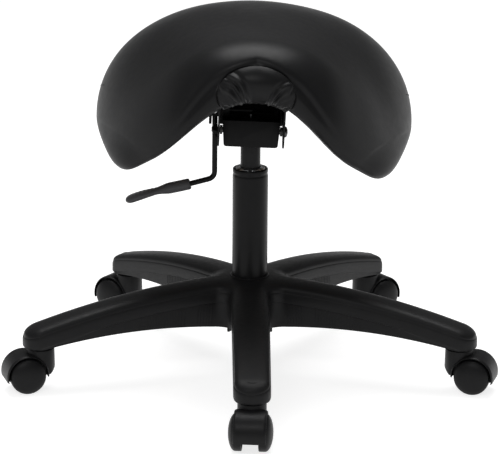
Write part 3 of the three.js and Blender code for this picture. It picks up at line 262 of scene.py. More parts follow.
lookFacts = {
    # finish, dark and pale colour, least and most roughness
    "seatVinyl": ("seatVinyl", (0.0104, 0.0104, 0.0109), (0.0124, 0.0124, 0.0130), (0.36, 0.41)),
    "baseNylon": mouldedNylon(1.0, 1500, 0.0),
    "hoodNylon": mouldedNylon(1.05, 2100, -0.04),
    "wheelNylon": mouldedNylon(0.9, 1900, 0.0),
    "gripPlastic": mouldedNylon(7.5, 1700, -0.06),
    "tubeSteel": ("powderCoat", (0.0055, 0.0055, 0.006), (0.0085, 0.0085, 0.009), (0.28, 0.36)),
    "liftSteel": ("powderCoat", (0.017, 0.017, 0.018), (0.024, 0.024, 0.025), (0.30, 0.42)),
    "frameSteel": ("powderCoat", (0.004, 0.004, 0.0043), (0.007, 0.007, 0.0074), (0.36, 0.48)),
    "brightSteel": ("bareSteel", (0.50, 0.51, 0.52), (0.64, 0.65, 0.66), (0.22, 0.38)),
    "blackenedSteel": ("bareSteel", (0.050, 0.051, 0.053), (0.085, 0.086, 0.088), (0.22, 0.38)),
    "paleNylon": ("paleNylon", (0.075, 0.075, 0.073), (0.105, 0.105, 0.102), (0.42, 0.6)),
    "blackRubber": ("blackRubber", (0.012, 0.012, 0.012), (0.022, 0.021, 0.021), (0.7, 0.85)),
    "seatPlywood": ("seatPlywood", (0.25, 0.145, 0.07), (0.42, 0.275, 0.15), (0.6, 0.8)),
}
looks = {name: layeredFinish(name, *facts) for name, facts in lookFacts.items()}
looks["seamThread"] = twistedThread("seamThread", (0.030, 0.030, 0.031), (0.052, 0.052, 0.054))
# the seam cord's near-black colour is painted shade, standing in for the crevice round the sewn-in piece
looks["gussetSeamShade"] = twistedThread("gussetSeamShade", (0.002, 0.002, 0.002), (0.004, 0.004, 0.004))
print("materials made:", len(looks))


# Mesh tools

def gridFaces(rows, columns, wrapRows, wrapColumns, start):
    # quads of a rows x columns grid of points, numbered from start, joined round where wrapped
    i = np.arange(rows if wrapRows else rows - 1)
    j = np.arange(columns if wrapColumns else columns - 1)
    i, j = np.meshgrid(i, j, indexing="ij")
    nextI = (i + 1) % rows
    nextJ = (j + 1) % columns
    corners = ((i, j), (nextI, j), (nextI, nextJ), (i, nextJ))
    quads = np.stack([row * columns + column for row, column in corners], -1)
    return quads.reshape(-1, 4) + start


def meshPiece(name, grids, material, sharp=38, merge=2e-6):
    # one object of several grids, each (points, wrapRows, wrapColumns) with points in metres
    points, faces, start = [], [], 0
    for grid, wrapRows, wrapColumns in grids:
        rows, columns = grid.shape[:2]
        points.append(grid.reshape(-1, 3))
        faces.append(gridFaces(rows, columns, wrapRows, wrapColumns, start))
        start += rows * columns
    mesh = bpy.data.meshes.new(name)
    mesh.from_pydata(np.concatenate(points).tolist(), [], np.concatenate(faces).tolist())
    work = bmesh.new()
    work.from_mesh(mesh)
    bmesh.ops.remove_doubles(work, verts=work.verts, dist=merge)
    bmesh.ops.dissolve_degenerate(work, edges=work.edges, dist=merge / 4)
    bmesh.ops.recalc_face_normals(work, faces=work.faces)
    work.to_mesh(mesh)
    work.free()
    piece = bpy.data.objects.new(name, mesh)
    scene.collection.objects.link(piece)
    mesh.materials.append(material)
    smooth(piece, sharp)
    return piece


def turnedPiece(name, grid, look, sharp=38):
    return meshPiece(name, [(grid, True, False)], looks[look], sharp)


def smooth(piece, sharp):
    piece.data.shade_smooth()
    piece.data.set_sharp_from_angle(angle=math.radians(sharp))


def applied(piece):
    # the piece's modifiers are worked into its mesh
    graph = bpy.context.evaluated_depsgraph_get()
    mesh = bpy.data.meshes.new_from_object(piece.evaluated_get(graph))
    piece.modifiers.clear()
    piece.data = mesh


def bevelled(piece, width, sharp):
    # edges sharper than this angle are cut by two faces each
    edge = piece.modifiers.new("edges", "BEVEL")
    edge.width = width * mm
    edge.segments = 2
    edge.limit_method = "ANGLE"
    edge.angle_limit = math.radians(sharp)
    applied(piece)


def combine(piece, tool, operation):
    # piece and tool as one solid, or less or common with it; the tool goes
    step = piece.modifiers.new("join", "BOOLEAN")
    step.operation = operation
    step.solver = "EXACT"
    step.object = tool
    applied(piece)
    bpy.data.objects.remove(tool)
    return piece


def settle(piece, body, slot, *nodes):
    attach(piece, body)
    if nodes:
        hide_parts(*nodes)


def cadCopy(name, node, look, bevel, sharp=30):
    # the node's own shape with its flat faces joined and its edges rounded
    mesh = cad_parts[node].data.copy()
    mesh.name = name
    work = bmesh.new()
    work.from_mesh(mesh)
    bmesh.ops.remove_doubles(work, verts=work.verts, dist=1e-6)
    bmesh.ops.dissolve_limit(work, angle_limit=math.radians(1), verts=work.verts, edges=work.edges)
    work.to_mesh(mesh)
    work.free()
    if "custom_normal" in mesh.attributes:
        mesh.attributes.remove(mesh.attributes["custom_normal"])
    piece = bpy.data.objects.new(name, mesh)
    scene.collection.objects.link(piece)
    mesh.materials.clear()
    mesh.materials.append(looks[look])
    bevelled(piece, bevel, sharp)
    smooth(piece, sharp + 8)
    return piece


def rounded(corners, radius, steps=4):
    # a path whose inner corners are turned into arcs: each is a quadratic curve that starts and ends
    # the corner's own radius away from it, or less on a short side. A corner is (x, y) or (x, y, radius).
    most = 0.48  # of a side's length
    points = [np.array(c[:2], float) for c in corners]
    radii = [c[2] if len(c) > 2 else radius for c in corners]
    path = [points[0][None]]
    t = np.linspace(0, 1, steps + 1)[:, None]
    for before, at, after, r in zip(points, points[1:], points[2:], radii[1:-1]):
        back, on = before - at, after - at
        reach = min(r, np.linalg.norm(back) * most, np.linalg.norm(on) * most)
        a = at + back / np.linalg.norm(back) * reach
        b = at + on / np.linalg.norm(on) * reach
        path.append((1 - t) ** 2 * a + 2 * t * (1 - t) * at + t ** 2 * b if r > 0 else at[None])
    path.append(points[-1][None])
    return np.concatenate(path)


def turned(profile, segments, first=0.0):
    # a surface of revolution about Z: radius and height pairs carried round a circle
    angle = first + np.linspace(0, 2 * math.pi, segments, endpoint=False)
    r, z = profile[:, 0], profile[:, 1]
    grid = np.stack([
        np.cos(angle)[:, None] * r,
        np.sin(angle)[:, None] * r,
        np.broadcast_to(z, (segments, len(z))),
    ], -1)
    return grid * mm


def unit(vectors):
    return vectors / np.maximum(np.linalg.norm(vectors, axis=-1), 1e-9)[..., None]


def eased(share):
    # from 0 to 1 with a level start and end
    return share * share * (3 - 2 * share)


def cubic(t, corners):
    # the cubic curve through the first and last of four corners, at the share t of it
    return ((1 - t) ** 3 * corners[0] + 3 * (1 - t) ** 2 * t * corners[1]
            + 3 * (1 - t) * t ** 2 * corners[2] + t ** 3 * corners[3])


def aboutX(grid):
    return np.stack([grid[..., 2], grid[..., 0], grid[..., 1]], -1)


def aboutY(grid):
    return np.stack([grid[..., 0], grid[..., 2], -grid[..., 1]], -1)


def shifted(grid, x, y, z):
    return grid + np.array([x, y, z]) * mm


def turnedAboutZ(grid, angle):
    c, s = math.cos(angle), math.sin(angle)
    x, y = grid[..., 0], grid[..., 1]
    return np.stack([c * x - s * y, s * x + c * y, grid[..., 2]], -1)


leanFacts = {"angle": math.radians(2), "saddle": math.radians(1.5), "height": 332.15}


def lean(grid, angle=leanFacts["angle"]):
    # the seat and its mechanism lean to the right about the taper's foot
    c, s = math.cos(angle), math.sin(angle)
    x, z = grid[..., 0], grid[..., 2] - leanFacts["height"] * mm
    return np.stack([c * x + s * z, grid[..., 1], c * z - s * x + leanFacts["height"] * mm], -1)


# Star base

baseFacts = {
    "arms": 5,
    "turn": math.radians(0.8),  # of the whole base about the column
    "endHeight": 62,
    "tip": 330.5,
    "nose": 22,
    "noseShape": 2.1,
    "noseDrop": 9,
    "topArc": 1080,
    "rootHalfWidth": 27.4,
    "endHalfWidth": 24.9,
    "capShape": 0.75,
    "capLeast": 1.0,
    "shoulderRoot": 12.5,
    "shoulderEnd": 9.0,
    "ledge": 1.4,
    "ledgeFall": 7.0,
    "lipDepth": 25.5,
    "lipLeast": 1.6,
    "lipFade": (215, 75),  # where it starts to fade out towards the tip, and over what length
    "underLip": (1.6, 7.5),  # height of the step below it, and what the fading adds
    "footRound": (0.4, 4.2),  # and what the nose adds
    "inset": 2.0,
    "wall": 3.2,
    "roofDrop": 9,
    "roofGap": 0.8,
    "archHeight": 77,
    "archPlace": 150,
    "archArc": 838.5,
    "hubTop": 136.5,
    "hubRise": 0.8,
    "hubFlat": 40,  # the rise fades out beyond this
    "hubFade": 25,
    "cornerRadius": 17.5,
    "valleySteps": 12,
    "ringSeat": 27.6,
    "ringFloor": 133,
    "boreTop": 25.3,
    "boreLow": 23.6,
    "tube": 33,
    "ribEndSetback": 66,
    "ribPitch": 50,
    "ribs": 4,
    "ribThickness": 2.6,
    "ribTopShare": 0.62,  # of a rib's width, which reaches up to the roof
    "ribStep": 8,
    "ribLift": 3,  # above the arms' lower edges
    "socket": 12,
    "socketBore": 6.3,
    "socketTop": 89,
    "socketRoof": 3.4,
    "webLength": 25,
    "hubRib": (52, 1.5, 128),  # where it ends, half its thickness and its top
    "stemCircle": 306,
    "flutePitch": 4.1,
    "fluteProud": 0.5,
    "fluteGap": (0.6, 1.6),  # below and above a flute
    "flutes": ((64, 86), (104, 172)),  # where they start and end along an arm
}


def armTurn(i):
    # the direction of the arm with the number i, from the front one round
    return -math.pi / 2 + i * 2 * math.pi / baseFacts["arms"] + baseFacts["turn"]


def noseAt(r):
    f = baseFacts
    return np.clip((r - f["tip"] + f["nose"]) / f["nose"], 0, 1)


def spineAt(r):
    # a parabola that falls from the hub
    return baseFacts["hubTop"] - r ** 2 / (2 * baseFacts["topArc"])


def crownAt(r):
    # the parabola, less a quarter of an ellipse at the nose
    return spineAt(r) - baseFacts["noseDrop"] * (1 - np.sqrt(1 - noseAt(r) ** 2))


def shoulderAt(r):
    # the crease under the crown, whose depth goes evenly from the root's to the end's
    f = baseFacts
    depth = f["shoulderRoot"] + (f["shoulderEnd"] - f["shoulderRoot"]) * r / f["tip"]
    return np.minimum(spineAt(r) - depth, crownAt(r) - f["capLeast"])


def undersideAt(r):
    f = baseFacts
    return np.maximum(f["endHeight"], f["archHeight"] - (r - f["archPlace"]) ** 2 / (2 * f["archArc"]))


def lipAt(r):
    f = baseFacts
    return np.maximum(spineAt(r) - f["lipDepth"], undersideAt(r) + f["lipLeast"])


def halfWidthAt(x):
    # straight sides, then a nose whose width falls as a superellipse
    f = baseFacts
    share = np.minimum(x / (f["tip"] - f["nose"]), 1)
    straight = f["rootHalfWidth"] + (f["endHalfWidth"] - f["rootHalfWidth"]) * share
    return straight * (1 - noseAt(x) ** f["noseShape"]) ** (1 / f["noseShape"])


def armOutline():
    # half an arm in plan: an arc round the valley between two arms, a straight side and the nose.
    # Gives the line, its outward normals and the distance along the arm by which each point's height goes.
    f = baseFacts
    half = math.pi / f["arms"]
    noseStart = f["tip"] - f["nose"]
    slope = (f["rootHalfWidth"] - f["endHalfWidth"]) / noseStart
    radius = f["cornerRadius"]
    centre = (f["rootHalfWidth"] + radius) / (math.sin(half) + slope * math.cos(half))
    turn = np.linspace(half + math.pi, 1.5 * math.pi - math.atan(slope), f["valleySteps"] + 1)
    valley = np.array([math.cos(half), math.sin(half)])
    arc = centre * valley + radius * np.stack([np.cos(turn), np.sin(turn)], -1)
    straightX = np.linspace(arc[-1, 0], noseStart, 31)[1:]
    noseX = noseStart + f["nose"] * np.sin(np.linspace(0, math.pi / 2, 21)[1:])
    x = np.concatenate([straightX, noseX])
    line = np.concatenate([arc, np.stack([x, halfWidthAt(x)], -1)])
    along = np.gradient(line, axis=0)
    normal = unit(np.stack([-along[:, 1], along[:, 0]], -1))
    normal[0] = valley
    normal[-1] = [1, 0]
    share = np.clip(np.arange(len(line)) / f["valleySteps"], 0, 1)
    reach = np.hypot(*line.T) * (1 - share) + line[:, 0] * share
    return line, normal, reach


def spineLine(line, radius, last):
    # the section's middle: on a ring round the column in the valley, then along the arm's centreline
    steps = baseFacts["valleySteps"]
    turn = math.pi / baseFacts["arms"] * (1 - np.arange(steps + 1) / steps)
    ring = radius * np.stack([np.cos(turn), np.sin(turn)], -1)
    x = np.clip(line[steps + 1:, 0], radius, last)
    return np.concatenate([ring, np.stack([x, 0 * x], -1)])


def armSection():
    # a grid from the spine over the crown to the crease, over the ledge, down to the lip, down the
    # set-in skirt and back under the roof. The cap and the ledge are parts of superellipses.
    f = baseFacts
    line, normal, edge = armOutline()
    a = np.linspace(0, math.pi / 2, 15)
    across, up = np.sin(a) ** f["capShape"], np.cos(a) ** f["capShape"]
    up[-1] = 0
    top = spineLine(line, f["ringSeat"], f["tip"] - f["ledge"] - 1.5)
    capEdge = line - normal * f["ledge"]
    reachTop = np.hypot(*top.T)
    reach = reachTop[:, None] + (edge - reachTop)[:, None] * across
    hub = f["hubRise"] * np.clip(1 - (reach - f["hubFlat"]) / f["hubFade"], 0, 1)
    shoulder, lip, low = shoulderAt(edge), lipAt(edge), undersideAt(edge)
    plan = top[:, None] + (capEdge - top)[:, None] * across[None, :, None]
    z = shoulder[:, None] + (crownAt(reach) + hub - shoulder[:, None]) * up
    parts = [np.concatenate([plan, z[..., None]], -1)]
    soft = eased(np.clip((edge - f["lipFade"][0]) / f["lipFade"][1], 0, 1))
    fall = np.minimum(f["ledgeFall"], 0.55 * (shoulder - lip))
    room = lip - low
    under = np.minimum(f["underLip"][0] + f["underLip"][1] * soft, 0.75 * room)
    foot = f["footRound"][0] + f["footRound"][1] * noseAt(edge)
    skirt = [(f["ledge"] * (1 - math.sin(b)), shoulder - fall * (1 - math.cos(b)))
             for b in np.linspace(0, math.pi / 2, 6)[1:]]
    # round the lip, down the skirt, round its foot and up inside
    skirt += [
        (0.0, lip + 0.9 * soft),
        (0.25 * soft + 0.1, lip - 0.2 * under),
        (0.9, lip - 0.45 * under),
        (f["inset"] - 0.25, lip - 0.8 * under),
        (f["inset"], lip - under),
        (f["inset"], low + np.minimum(foot, 0.2 * room)),
        (f["inset"] + 0.12 * foot, low + np.minimum(0.5 * foot, 0.15 * room)),
        (f["inset"] + 0.45 * foot, low + np.minimum(0.14 * foot, 0.1 * room)),
        (f["inset"] + foot, low),
        (f["inset"] + np.maximum(f["wall"] - 0.4, foot + 0.3), low),
        (f["inset"] + np.maximum(f["wall"], foot + 0.7), low + 0.4),
    ]
    walls = []
    for inset, height in skirt:
        inset = np.broadcast_to(inset, edge.shape)
        walls.append(np.concatenate([line - normal * inset[:, None], height[:, None]], -1))
    parts.append(np.stack(walls, 1))
    inner = walls[-1][:, :2]
    middle = spineLine(line, f["tube"], f["tip"] - f["inset"] - f["wall"] - 6)
    reachMiddle = np.hypot(*middle.T)
    s = np.linspace(0, 1, 9)
    plan = inner[:, None] + (middle - inner)[:, None] * s[None, :, None]
    reach = edge[:, None] + (reachMiddle - edge)[:, None] * s
    roof = np.maximum(crownAt(reach) - 1.5 * f["wall"] - f["roofDrop"] * (1 - s) ** 3,
                      low[:, None] + f["roofGap"])
    parts.append(np.concatenate([plan, roof[..., None]], -1))
    return np.concatenate(parts, 1) * mm


def starBase():
    f = baseFacts
    half = armSection()
    other = half * np.array([1, -1, 1])
    grids = [(turnedAboutZ(side, armTurn(i)), False, False)
             for i in range(f["arms"]) for side in (half, other)]
    steps = f["valleySteps"]
    cut = 0.5  # the bore's and the tube's edges are cut off by this
    topZ = float(half[0, 0, 2]) / mm
    tubeZ = float(half[0, -1, 2]) / mm
    bore = np.array([
        (f["ringSeat"], topZ), (f["ringSeat"], f["ringFloor"]), (f["boreTop"], f["ringFloor"]),
        (f["boreLow"], f["endHeight"] + cut), (f["boreLow"] + cut, f["endHeight"]),
        (f["tube"] - cut, f["endHeight"]), (f["tube"], f["endHeight"] + cut), (f["tube"], tubeZ)])
    ringPoints = turned(bore, f["arms"] * 2 * steps, armTurn(0))
    # the ring's top and foot follow the arms' heights, column by column
    for column in (0, -1):
        heights = half[:steps + 1, column, 2]
        ringPoints[:, column, 2] = np.tile(np.concatenate([heights[::-1], heights[1:-1]]), f["arms"])
    grids.append((ringPoints, True, False))
    return meshPiece("starBase", grids, looks["baseNylon"], sharp=34, merge=4e-5)


def boxGrid(low, high):
    # a closed box as one grid: four rings round X with its ends drawn to a point
    (x0, y0, z0), (x1, y1, z1) = low, high
    ring = np.array([(y0, z0), (y1, z0), (y1, z1), (y0, z1)], float)
    middle = ring.mean(0)[None].repeat(4, 0)
    rows = [(x0, middle), (x0, ring), (x1, ring), (x1, middle)]
    return np.stack([np.concatenate([np.full((4, 1), x), r], 1) for x, r in rows]) * mm


def underArms():
    # ribs, webs and socket tubes in the hollow of the arms
    f = baseFacts
    low = f["archHeight"] + f["ribLift"]
    boxes = []
    for k in range(f["ribs"]):
        x = f["stemCircle"] - f["ribEndSetback"] - k * f["ribPitch"]
        half = halfWidthAt(x) - f["inset"] - f["wall"] / 2
        roof = crownAt(x) - 1.4 * f["wall"]
        top = half * f["ribTopShare"]
        t = f["ribThickness"] / 2
        boxes.append(boxGrid((x - t, -half, low), (x + t, half, roof - f["ribStep"])))
        boxes.append(boxGrid((x - t, -top, roof - f["ribStep"] - 1), (x + t, top, roof)))
    end, foot, hole = f["stemCircle"], f["endHeight"], f["socketBore"]
    roof = crownAt(end) - f["socketRoof"]
    tube = rounded([(hole, f["socketTop"]), (hole, foot), (f["socket"], foot), (f["socket"], roof)], 0.6)
    socket = shifted(turned(tube, 48), end, 0, 0)
    low = foot + f["ribLift"]
    webs = [boxGrid((end - f["socket"] - f["webLength"], -t, low), (end - hole - 1, t, roof + 1)),
            boxGrid((end + hole + 1, -t, low), (f["tip"] - 8, t, roof - 11))]
    reach, half, top = f["hubRib"]
    hubRib = boxGrid((f["tube"] - 1, -half, low), (reach, half, top))
    grids = []
    for i in range(f["arms"]):
        grids += [(turnedAboutZ(box, armTurn(i)), False, True) for box in boxes]
        grids.append((turnedAboutZ(socket, armTurn(i)), True, False))
        grids += [(turnedAboutZ(web, armTurn(i)), False, True) for web in webs]
        grids.append((turnedAboutZ(hubRib, armTurn(i) + math.pi / f["arms"]), False, True))
    return meshPiece("starBaseRibs", grids, looks["baseNylon"])


def skirtFlutes():
    # fine upright ribs on the set-in skirt: half-round bars, each as tall as the skirt is there
    f = baseFacts
    bar = np.linspace(0, math.pi, 5)
    bars = []
    for x in np.concatenate([np.arange(a, b, f["flutePitch"]) for a, b in f["flutes"]]):
        y = halfWidthAt(x) - f["inset"]
        low = undersideAt(x) + f["fluteGap"][0]
        high = lipAt(x) - f["fluteGap"][1]
        out = np.sin(bar) * f["fluteProud"] - 0.1
        out[[0, -1]] = -0.5  # both edges lie in the skirt
        ring = np.stack([x + np.cos(bar), y + out], -1)
        middle = np.array([[x, y - 0.2]]).repeat(5, 0)
        rows = [(low, middle), (low, ring), (high, ring), (high, middle)]
        bars.append(np.stack([np.concatenate([r, np.full((5, 1), z)], 1) for z, r in rows]) * mm)
    grids = []
    for i in range(f["arms"]):
        for grid in bars:
            for side in (1, -1):
                grids.append((turnedAboutZ(grid * np.array([1, side, 1]), armTurn(i)), False, True))
    return meshPiece("starBaseFlutes", grids, looks["baseNylon"], sharp=50)


settle(starBase(), "base", "base_nylon", "star_base")
settle(underArms(), "base", "base_nylon")
settle(skirtFlutes(), "base", "base_nylon")
print("star base made")


# Casters

casterFacts = {
    "trail": 22.5,
    "wheel": 25,
    "wheelIn": 11.2,
    "tread": 19.5,
    "wheelOut": 29.7,
    "hood": 30,
    "cavity": 28,
    "rimRound": (1.5, 2.6),  # in and down from the hood's edge
    "hoodHalf": 21.6,
    "webHalf": 10.9,
    "neck": 19.2,
    "neckTop": 60.4,
    "frontHeight": 19,
    "webHeight": 14,
    "backHeight": 34,
    "backChamfer": 9,
    "bevel": 0.45,
    "stem": 5.5,
    "stemFoot": 35,
    "stemTop": 88,
    "stemBore": 6.3,
    "stemGroove": 4.7,
    "axle": 4,
    "axleHalf": 22.6,
    "axleHole": 4.5,
    "wheelBore": 4.3,
    "turns": [math.radians(v) for v in (-4.7, 0, -20, 20, 0)],
    "places": ["front", "right", "rear_right", "rear_left", "left"],
}


def atAxle(grid, side=1):
    # a grid that is round about Z, laid about the wheels' axle and mirrored where the side is -1
    return shifted(aboutY(grid) * np.array([1, side, 1]), casterFacts["trail"], 0, casterFacts["wheel"])


def casterHood():
    # a barrel about the axle joined to the neck and cut off below, with a round room for each wheel and
    # bores for the stem and the axle
    f = casterFacts
    r, half = f["hood"], f["hoodHalf"]
    edgeIn, edgeDown = f["rimRound"]
    barrel = rounded([
        (0, -half), (r - edgeIn, -half, 0.5), (r, -half + edgeDown, 4), (r, half - edgeDown, 4),
        (r - edgeIn, half, 0.5), (0, half)], 0, 6)
    neck = rounded([
        (0, f["wheel"]), (f["neck"] + 0.6, f["wheel"]), (f["neck"], f["neckTop"], 1.4),
        (0, f["neckTop"])], 0.1, 4)
    hood = turnedPiece("drum", atAxle(turned(barrel, 112)), "hoodNylon")
    combine(hood, turnedPiece("neck", turned(neck, 96), "hoodNylon"), "UNION")
    beyond = 6  # by which each cutting shape stands out
    top, back = f["neckTop"] + beyond, -f["neck"] - beyond
    reach = f["trail"] + r + beyond
    outline = rounded([
        (back, top), (back, f["backHeight"], 0), (-f["neck"], f["backHeight"], 0),
        (-f["neck"] + f["backChamfer"], f["backHeight"] - f["backChamfer"], 4),
        (f["trail"] - f["wheelIn"], f["webHeight"], 3), (f["trail"] + f["wheelIn"], f["webHeight"], 3),
        (f["trail"] + r, f["frontHeight"], 0), (reach, f["frontHeight"], 0), (reach, top)], 2, 4)
    combine(hood, prismY("keep", outline, -half - beyond, half + beyond), "INTERSECT")
    room = turned(rounded([
        (0, f["webHalf"]), (f["cavity"], f["webHalf"], 0.8), (f["cavity"], half + beyond),
        (0, half + beyond)], 0, 3), 112)
    low, hole, out = f["stemFoot"] - 0.3, f["axleHole"], f["axleHalf"] + 2
    bore = np.array([(0, low), (f["stemBore"], low), (f["stemBore"], top), (0, top)])
    across = np.array([(0, -out), (hole, -out), (hole, out), (0, out)])
    for grid in (atAxle(room, -1), atAxle(room), turned(bore, 40), atAxle(turned(across, 32))):
        combine(hood, turnedPiece("cut", grid, "hoodNylon"), "DIFFERENCE")
    bevelled(hood, f["bevel"], 50)
    smooth(hood, 40)
    return hood


def prismY(name, outline, y0, y1):
    # an outline in X and Z carried along Y, with its ends drawn to the middle
    middle = outline.mean(0)[None].repeat(len(outline), 0)
    rows = [(y0, middle), (y0, outline), (y1, outline), (y1, middle)]
    grid = np.stack([np.stack([r[:, 0], np.full(len(r), y), r[:, 1]], -1) for y, r in rows]) * mm
    return meshPiece(name, [(grid, False, True)], looks["hoodNylon"])


def casterWheel(side):
    # a disc about Y: a plain tread, and a quarter of an ellipse from the tread out to the hub
    f = casterFacts
    w, inside, out, bore = f["wheel"], f["wheelIn"], f["wheelOut"], f["wheelBore"]
    b = np.linspace(0, math.pi / 2, 25)[1:]
    dome = np.stack([w * np.cos(b), f["tread"] + (out - f["tread"]) * np.sin(b)], -1)
    # from the bore's blind end in to the inner face, over the set-in web and out to the rim
    profile = np.concatenate([rounded([
        (0, out - 4.7), (bore, out - 4.7, 0), (bore, inside, 0.3), (9, inside, 0.4),
        (9.6, inside + 1.6, 0.4), (w - 4, inside + 1.6, 0.6), (w - 3.2, inside, 0.4),
        (w, inside, 1.2), (w, f["tread"])], 0.4, 4), dome])
    return atAxle(turned(profile, 96), side)


def casterStem():
    # a plain pin with a groove for its spring ring
    f = casterFacts
    r, foot, top, groove = f["stem"], f["stemFoot"], f["stemTop"], f["stemGroove"]
    return turned(rounded([
        (0, foot), (r, foot, 0.6), (r, 45.2, 0.2), (groove, 46.2, 0.4), (groove, 47.8, 0.4),
        (r, 48.8, 0.2), (r, top - 1.2, 0.3), (r - 1.2, top, 0.3), (0, top)], 0.2, 3), 40)


def casterAxle():
    r, half = casterFacts["axle"], casterFacts["axleHalf"]
    return atAxle(turned(rounded([(0, -half), (r, -half, 0.5), (r, half, 0.5), (0, half)], 0.5, 3), 32))


def makeCasters():
    f = casterFacts
    pattern = casterHood()
    for i, place in enumerate(f["places"]):
        arm = armTurn(i)
        angle = arm + f["turns"][i]
        x, y = baseFacts["stemCircle"] * math.cos(arm), baseFacts["stemCircle"] * math.sin(arm)

        def put(grid):
            return shifted(turnedAboutZ(grid, angle), x, y, 0)

        hood = bpy.data.objects.new("casterHood_" + place, pattern.data.copy())
        scene.collection.objects.link(hood)
        points = np.empty(len(hood.data.vertices) * 3, np.float32)
        hood.data.vertices.foreach_get("co", points)
        moved = put(points.reshape(-1, 3).astype(float)).astype(np.float32)
        hood.data.vertices.foreach_set("co", moved.ravel())
        smooth(hood, 40)
        settle(hood, "caster_" + place, "base_nylon", "hood_" + place)
        for letter, side in (("a", -1), ("b", 1)):
            name = f"wheel_{letter}_{place}"
            wheel = turnedPiece("caster_" + name, put(casterWheel(side)), "wheelNylon")
            settle(wheel, name, "wheel_nylon", name)
        stem = turnedPiece("casterStem_" + place, put(casterStem()), "brightSteel")
        settle(stem, "base", "bright_steel", "stem_" + place)
        axle = turnedPiece("casterAxle_" + place, put(casterAxle()), "brightSteel")
        settle(axle, "caster_" + place, "bright_steel", "axle_" + place)
    bpy.data.objects.remove(pattern)


makeCasters()
print("casters made")


# Gas lift

liftFacts = {
    "tube": 25,
    "tubeWall": 1.8,
    "tubeFoot": 68,
    "tubeFloor": 71,
    "footRadius": 23.7,  # the tube tapers from the hub's top down to it
    "tubeTop": 294,
    "crimp": 286,
    "rodHole": 4.35,
    "guideBore": 14.5,
    "guide": 20.9,
    "notches": 8,
    "notchDepth": 1.1,
    "piston": 14,
    "pistonFoot": 94,
    "pistonTop": 365,
    "taper": 42,
    "taperDrop": 1.1,
    "valveBore": (6.25, 4.2),  # below and at the top
    "socketEnds": (329.5, 362.5),
    "socketBore": (13.9, 13.3),  # at its foot and at its top
    "socket": 17.9,
    "ringEnds": (133.3, 138.7),
    "ring": (25.3, 27.3),  # bore and outside
    "valve": 3.5,
    "valveCollar": (5.6, 354.7, 357.7),  # radius, foot and top
    "valveEnds": (338.7, 371.2),
}


def standTube():
    # up the outside, over the crimp and the rolled mouth, and down the inside
    f = liftFacts
    r, foot, top, crimp, hub = f["tube"], f["tubeFoot"], f["tubeTop"], f["crimp"], baseFacts["hubTop"]
    inner, floor, hole = r - f["tubeWall"], f["tubeFloor"], f["rodHole"]
    profile = rounded([
        (hole, foot), (f["footRadius"], foot, 1), (r, hub, 2), (r, crimp - 3, 1.5), (r - 0.9, crimp, 1.5),
        (r, crimp + 3, 1.5), (r - 0.4, top - 0.9, 1.2), (r - 2.6, top, 0.5), (r - 3.5, top - 1.8, 0.3),
        (inner - 0.9, crimp + 3, 0.5), (inner - 0.9, crimp - 3, 1), (inner, crimp - 6, 1),
        (inner, hub, 2), (21.9, floor, 1), (hole, floor, 0), (hole, foot)], 0.5, 4)
    return turnedPiece("standTube", turned(profile, 128), "tubeSteel")


def guideRing():
    # the retaining ring in the tube's mouth, notched round its edge
    f = liftFacts
    low, high = f["crimp"] + 0.3, f["tubeTop"] + 1.2
    bore, r, sides = f["guideBore"], f["guide"], 144
    profile = rounded([
        (bore, low), (r, low, 0.2), (r, high - 1.2, 0.3), (r - 1.2, high, 0.4), (bore, high, 0.3),
        (bore, low)], 0.2, 3)
    grid = turned(profile, sides)
    angle = np.arange(sides) * 2 * math.pi / sides
    notch = 0.5 + 0.5 * np.tanh(6 * (np.cos(f["notches"] * angle) - 0.72))
    outer = np.clip((np.hypot(grid[..., 0], grid[..., 1]) / mm - 16.5) / 3, 0, 1)
    near = np.clip((grid[..., 2] / mm - high + 2.2) / 1.2, 0, 1)
    grid[..., 2] -= notch[:, None] * outer * near * f["notchDepth"] * mm
    return turnedPiece("guideRing", grid, "brightSteel")


def pressureTube():
    # a tube whose tapered top is bored in two steps for the valve
    f = liftFacts
    r, foot, top, taper, drop = f["piston"], f["pistonFoot"], f["pistonTop"], f["taper"], f["taperDrop"]
    wide, narrow = f["valveBore"]
    profile = rounded([
        (r - 1.9, foot), (r, foot, 0.6), (r, top - taper, 2), (r - drop, top - 0.4, 0.3),
        (r - 2 * drop, top, 0.3), (narrow, top, 0.3), (narrow, top - 7, 0), (wide, top - 7, 0),
        (wide, top - taper + 1, 0.5), (r - 1.9, top - taper, 0.5), (r - 1.9, foot)], 0.3, 4)
    return turnedPiece("pressureTube", turned(profile, 112), "liftSteel")


def taperSocket():
    # a short tube round the lift's taper, rounded at its top
    f = liftFacts
    r, (low, high), (foot, mouth) = f["socket"], f["socketEnds"], f["socketBore"]
    profile = rounded([
        (foot, low), (r, low, 0.5), (r, high - 1.5, 0.8), (16.4, high, 0.5), (mouth, high, 0.3),
        (foot, low)], 0.4, 3)
    return turnedPiece("taperSocket", turned(profile, 80), "frameSteel")


def hubRing():
    # a thin ring round the tube in the hub's top, rounded above
    f = liftFacts
    (low, high), (bore, r) = f["ringEnds"], f["ring"]
    profile = rounded([
        (bore, low), (r, low, 0.2), (r, 137.8, 0.8), (26.7, high, 0.6), (bore, high, 0.4),
        (bore, low)], 0.3, 3)
    return turnedPiece("hubRing", turned(profile, 112), "tubeSteel")


def valveButton():
    # a pin with a collar below its top
    f = liftFacts
    r, (foot, top), (collar, low, high) = f["valve"], f["valveEnds"], f["valveCollar"]
    profile = rounded([
        (0, foot), (r, foot, 0.4), (r, low, 0), (collar, low, 0), (collar, high, 0), (r, high, 0),
        (r, top, 0.6), (0, top + 0.4)], 0.3, 3)
    return turnedPiece("valveButton", turned(profile, 40), "blackenedSteel")


